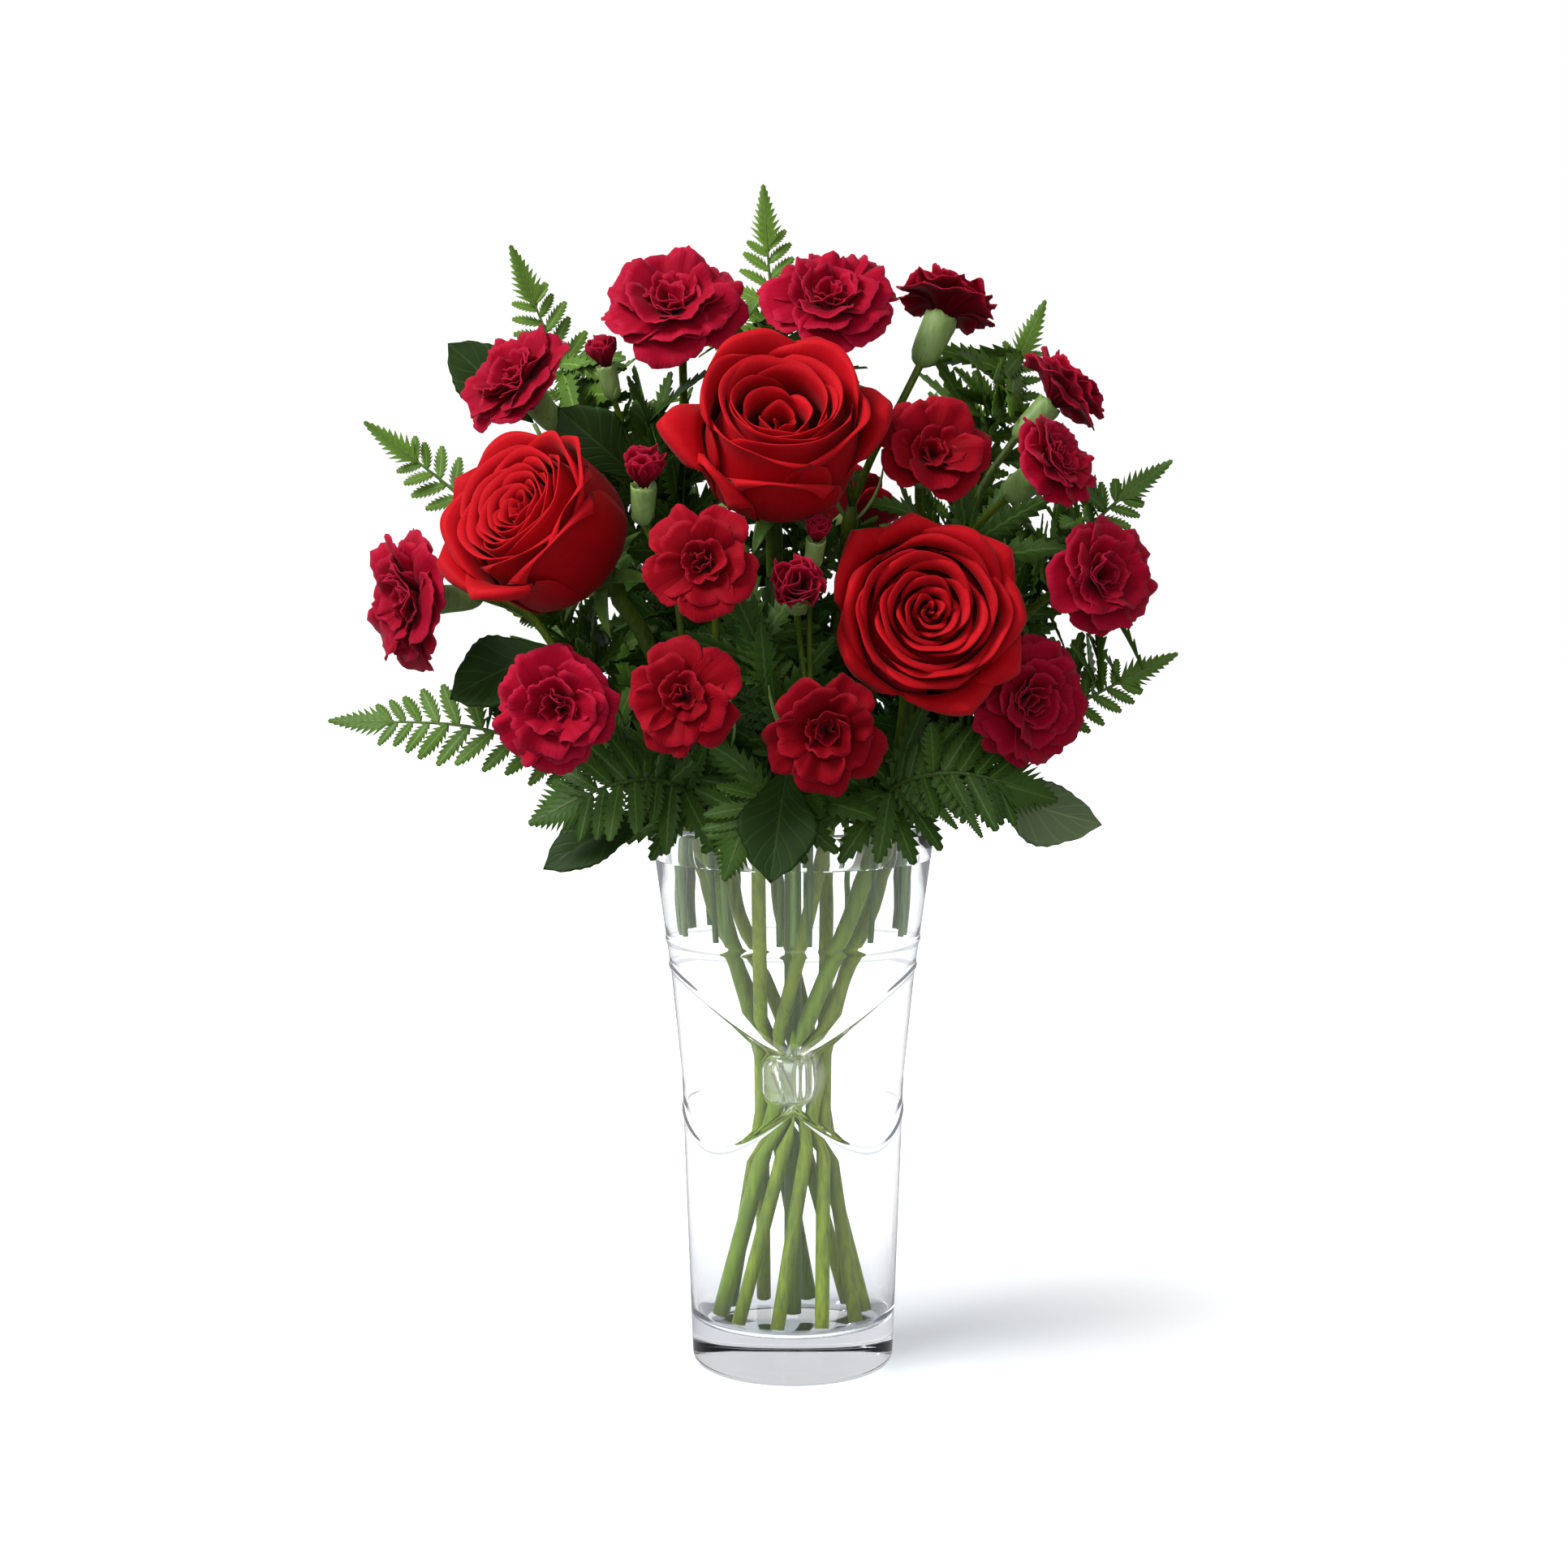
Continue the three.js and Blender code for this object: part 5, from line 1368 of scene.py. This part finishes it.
def is_hidden(points):
    """True where a pinna would stand in a bloom, in front of its face, in the vase or out of the bunch."""
    end = points[-1]
    if in_vase(points, 209, 57):
        return True
    middle, axis = (np.array([ball[k] for ball in balls]) for k in (1, 2))
    wide, deep = (np.array([ball[k] for ball in balls]) for k in (3, 4))
    away = points[:, None] - middle
    along = (away * axis).sum(-1)
    across = np.linalg.norm(away - along[..., None] * axis, axis=-1)
    inside = np.hypot(along / (deep + 1), across / (wide + 1)) < 1
    before = (wide > 8) & (along > 0) & (along < 70) & (across < wide * 0.94)
    if np.any(inside | before):
        return True
    for _, _, base, tip, half, _ in LEAVES.values():
        base, tip = np.array(base, float), np.array(tip, float)
        share = np.clip((points - base) @ (tip - base) / ((tip - base) @ (tip - base)), 0, 1)
        if np.any(np.linalg.norm(points - base - np.outer(share, tip - base), axis=1) < half * 0.85):
            return True
    tall = BUNCH["up"] if end[2] > BUNCH["z"] else BUNCH["down"]
    return math.hypot((end[0] - BUNCH["x"]) / BUNCH["across"], end[1] / BUNCH["deep"],
                      (end[2] - BUNCH["z"]) / tall) > 1


# Pinnae that hang over the vase's mouth: frond, share of its stalk, the way they lean, length
OVER_MOUTH = [
    ("front_left", 0.36, (-0.5, -0.55, -0.55), 30), ("front_left", 0.42, (0.35, -0.75, -0.6), 28),
    ("front_left", 0.48, (-0.1, -0.6, -0.8), 27), ("front_left", 0.33, (-0.9, -0.3, -0.3), 34),
    ("front", 0.40, (0.7, -0.45, -0.45), 30), ("front", 0.36, (-0.75, -0.4, -0.35), 32),
    ("front", 0.48, (0.45, -0.35, -0.8), 26), ("front", 0.5, (-0.6, -0.3, -0.6), 26),
    ("front_right", 0.34, (-0.45, -0.6, -0.55), 32), ("front_right", 0.40, (0.35, -0.65, -0.65), 30),
    ("front_right", 0.46, (-0.15, -0.6, -0.8), 28), ("front_right", 0.5, (0.6, -0.4, -0.7), 28),
    ("front_right", 0.32, (-0.8, -0.5, -0.25), 34), ("mid_front", 0.36, (0.8, -0.6, -0.1), 34),
    ("mid_front", 0.34, (-0.8, -0.6, -0.1), 34), ("mid_front", 0.4, (0.3, -0.9, -0.2), 30),
]
placed_pinnae = []


def add_lower_pinnae(parts, masters, route, count, high, tone, low_reach):
    """Pinnae on the stalk inside the bunch, each where the room round it is widest."""
    low = route.mouth + 0.03
    for k in range(count):
        share = lerp(low, high, (k + rng.uniform(0, 1)) / count)
        place = route.at(share)
        ahead = unit(route.at(share + 0.01) - place)
        best = None
        for _ in range(PINNA_TRIES):
            length = rng.uniform(24, 42)
            swing = rng.normal(0, 1, 3) + low_reach * (place[2] < 250)
            out = unit(swing - ahead * (swing @ ahead) + ahead * rng.uniform(-0.2, 1.1))
            line = rib_line(place, out, np.array([0, 0, 1]), length, rng.uniform(0.0, 0.3), PINNA_ROWS + 1)
            if is_hidden(line[[6, 11, 16]]):
                continue
            heart = line[10]
            room = min((np.linalg.norm(heart - other) for other in placed_pinnae), default=99)
            room *= 1.25 if heart[1] < 10 else 1.0
            if best is None or room > best[0]:
                best = (room, line, heart, length)
        if best is None or best[0] < PINNA_ROOM:
            continue
        _, line, heart, length = best
        placed_pinnae.append(heart)
        outward = unit((heart[0], heart[1] - 25, 0.25 * (heart[2] - 215)))
        look = unit(outward + rng.normal(0, 0.35, 3))
        t = np.linspace(0, 1, len(line))
        half, depth = (length * 0.15 + 1.2) * lance(t) * 0.9 + 0.35, 0.66 - 0.4 * t
        # painted shade: pinnae deep in the bunch are painted darker, down to near black at its heart
        depth_in = 1 - min(math.hypot(heart[0], min(heart[1], 0), 0.7 * max(heart[2] - 240, 0)) / 90, 1)
        shade = tone * lerp(0.85, 0.03, smooth(min(depth_in / 0.75, 1)))
        parts.append(shape(twin(masters[1]), toothed(line, look, half, depth), shade * rng.uniform(0.7, 1.2)))


def build_frond(name, values, finish, rib_finish):
    _, _, tip, start, width, sides, tone = values
    route = frond_routes[name]
    faces = unit(FACES_BACK if tip[1] > BACK_FROM else FACES_FRONT)
    tilt = {"mid_left": 40, "mid_right": -40}.get(name, 0)
    rib = route.along(start, 1, 60)
    forward = unit(rib[-1] - rib[0])
    faces = turned_about(faces, forward, math.radians(tilt))
    stalk = stem_line(route, 24)
    radii = np.interp(np.linspace(0, 1, len(stalk)), [0, 0.5, 1], [STALK_RADIUS, STALK_RADIUS * 0.9, 0.25])
    lines = [(stalk, radii)]
    masters = [sheet(2, LEAFLET_ROWS), sheet(2, PINNA_ROWS), sheet(2, TIP_ROWS)]
    parts = []
    if name.startswith("front"):
        add_fern_blade(parts, masters, rib, faces, width * 1.15, tone, 0.6, 0.6)
    else:
        add_fern_blade(parts, masters, rib, faces, width, tone)
    for share, hand, long in sides:
        place = route.at(share)
        ahead = unit(route.at(share + 0.01) - place)
        out = unit(np.cross(ahead, faces) * hand + ahead * 0.7)
        branch = rib_line(place, out, faces, long, 0.15, 25)
        lines.append((branch[::2], np.linspace(0.6, 0.2, 13)))
        add_fern_blade(parts, masters, branch, faces, width * 0.55, tone, 0.26)
    for frond, share, lean, long in OVER_MOUTH:
        if frond == name:
            # it starts far enough along the stalk to pass over the lip
            for start_at in np.arange(share, 0.75, 0.02):
                place = route.at(start_at)
                look = unit(np.array([0.25 * place[0] / 50, -1, 0.55]))
                line = rib_line(place, unit(lean), look, long, 0.2, PINNA_ROWS + 1)
                if not in_vase(line, 206, 55):
                    break
            t = np.linspace(0, 1, len(line))
            blade = twin(masters[1])
            parts.append(shape(blade, toothed(line, look, long * 0.2 * lance(t) + 0.4, 0.62 - 0.4 * t), tone))
    low_reach = np.array([0.0, -0.8, -1.0]) if name.startswith("front") else np.zeros(3)
    add_lower_pinnae(parts, masters, route, LOWER_PINNAE.get(name, 46), 0.93, max(tone, 0.3), low_reach)
    for master in masters:
        drop(master)
    blade = closed_shells(parts, FERN_THICK, finish)
    frond = joined([blade, pipe(lines, rib_finish, 1, tone)])
    finished(frond, "frond_" + name, "fern", "fern_" + name)


def turned_about(vector, axis, angle):
    c, s = math.cos(angle), math.sin(angle)
    return vector * c + np.cross(axis, vector) * s + axis * (axis @ vector) * (1 - c)


def build_broad_leaf(name, values, top_finish, under_finish, stalk_finish):
    _, _, base, tip, width, faces = values
    base, tip = np.array(base, float), np.array(tip, float)
    forward = tip - base
    length = np.linalg.norm(forward)
    forward = forward / length
    faces = unit(faces)
    side = unit(np.cross(forward, faces))
    up = unit(np.cross(side, forward))
    phase = rng.uniform(0, TURN)
    rows = 28
    obj = sheet(16, rows)

    def formula(u, v):
        half = width * np.sin(np.minimum(v * 1.25, 1) * math.pi * 0.5 + np.maximum(0, v - 0.4) * 2.1)
        half = np.maximum(half, 0) * (1 - 0.75 * smooth((v - 0.86) / 0.14)) * (v < 0.999)
        odd = np.rint(v * rows).astype(int) % 2
        jag = 1 + np.where(np.abs(u) > 0.99, np.where(odd, 0.02, -0.02), 0)
        lift = np.sin(v * math.pi) * length * 0.08
        x = u * half * jag
        wave = 0.5 * np.sin(v * 11 + phase) * np.abs(u) ** 2
        z = lift + half * 0.2 * np.abs(u) + wave
        return base + np.outer(v * length, forward) + np.outer(x, side) + np.outer(z, up)

    shape(obj, formula)
    under = twin(obj)
    dress(obj, top_finish)
    dress(under, under_finish)
    part_faces(obj, under, up)
    route = leaf_routes[name]
    stalk = stem_line(route, 20)
    stalk = pipe([(stalk, np.linspace(STALK_RADIUS, STALK_RADIUS * 0.8, len(stalk)))], stalk_finish, 2)
    whole = joined([obj, under, stalk])
    weld(whole)
    finished(whole, "leaf_" + name, "broad_leaf", "leaf_" + name)


def part_faces(top, under, up):
    """Parts the two faces of a leaf by its thickness, away from the edge where they meet."""
    for obj, sign in ((top, 1), (under, -1)):
        mesh = obj.data
        co = read_points(mesh)
        uses = Counter(edge for polygon in mesh.polygons for edge in polygon.edge_keys)
        inner = np.ones(len(co), bool)
        inner[[point for edge, times in uses.items() if times == 1 for point in edge]] = False
        co[inner] += (np.asarray(up) * sign * (BROAD_LEAF_THICK / 2) * MM).astype(np.float32)
        mesh.vertices.foreach_set("co", co.ravel())


# ---------------------------------------------------------------- the whole bunch
build_studio()
build_vase()
build_water()

# petal colours from the heart to the edge: the near-black heart is painted shade deep in the bloom
carnation_stops = [(0.0, (0.03, 0.0, 0.002)), (0.35, (0.12, 0.0, 0.006)), (0.65, (0.26, 0.001, 0.012)),
                   (0.9, (0.36, 0.002, 0.02)), (1.0, (0.46, 0.012, 0.045))]
ruby_stops = [(0.0, (0.03, 0.0, 0.001)), (0.35, (0.11, 0.0, 0.002)), (0.65, (0.24, 0.001, 0.006)),
              (0.9, (0.34, 0.002, 0.011)), (1.0, (0.43, 0.01, 0.026))]
rose_stops = [(0.0, (0.05, 0.0, 0.0)), (0.45, (0.18, 0.0, 0.002)), (0.8, (0.37, 0.002, 0.006)),
              (1.0, (0.47, 0.007, 0.013))]
crimson = petal_finish("carnation_crimson", carnation_stops, 30, 0.1, 0.62, (1, 0.3, 0.4))
ruby = petal_finish("carnation_ruby", ruby_stops, 30, 0.1, 0.6, (1, 0.3, 0.35))
scarlet = petal_finish("rose_scarlet", rose_stops, 12, 0.1, 0.55, (1, 0.25, 0.25))
stem_green = stem_finish("stem_green", (0.05, 0.1, 0.002), (0.34, 0.43, 0.02), (900, 900, 30), 0.25)
rose_green = stem_finish("rose_stem_green", (0.028, 0.066, 0.002), (0.17, 0.26, 0.013), (900, 900, 25), 0.3)
calyx_green = stem_finish("calyx_green", (0.12, 0.22, 0.05), (0.3, 0.42, 0.14), (500, 500, 60))
sepal_green = stem_finish("sepal_green", (0.04, 0.1, 0.012), (0.14, 0.24, 0.04), (300, 300, 300))
fern_green = frond_finish()
rib_green = stem_finish("fern_rib", (0.05, 0.1, 0.015), (0.2, 0.32, 0.08), (900, 900, 40))
leaf_top = broad_leaf_finish("leaf_top", (0.007, 0.02, 0.002), (0.02, 0.052, 0.006),
                             (0.04, 0.078, 0.016), 0.46)
leaf_under = broad_leaf_finish("leaf_underside", (0.10, 0.15, 0.07), (0.17, 0.23, 0.11),
                               (0.25, 0.32, 0.16), 0.55)

for name, flower in roses.items():
    build_rose(name, flower, scarlet)
for spray in sprays.values():
    for name, head in spray["heads"].items():
        build_carnation(name, head, ruby if head.kind == "cup" else crimson)
for name, flower in roses.items():
    build_rose_stem(name, flower, rose_green, sepal_green)
for name, spray in sprays.items():
    build_spray(name, spray, stem_green, calyx_green)
for name, values in LEAVES.items():
    build_broad_leaf(name, values, leaf_top, leaf_under, rib_green)
for name, values in FRONDS.items():
    build_frond(name, values, fern_green, rib_green)
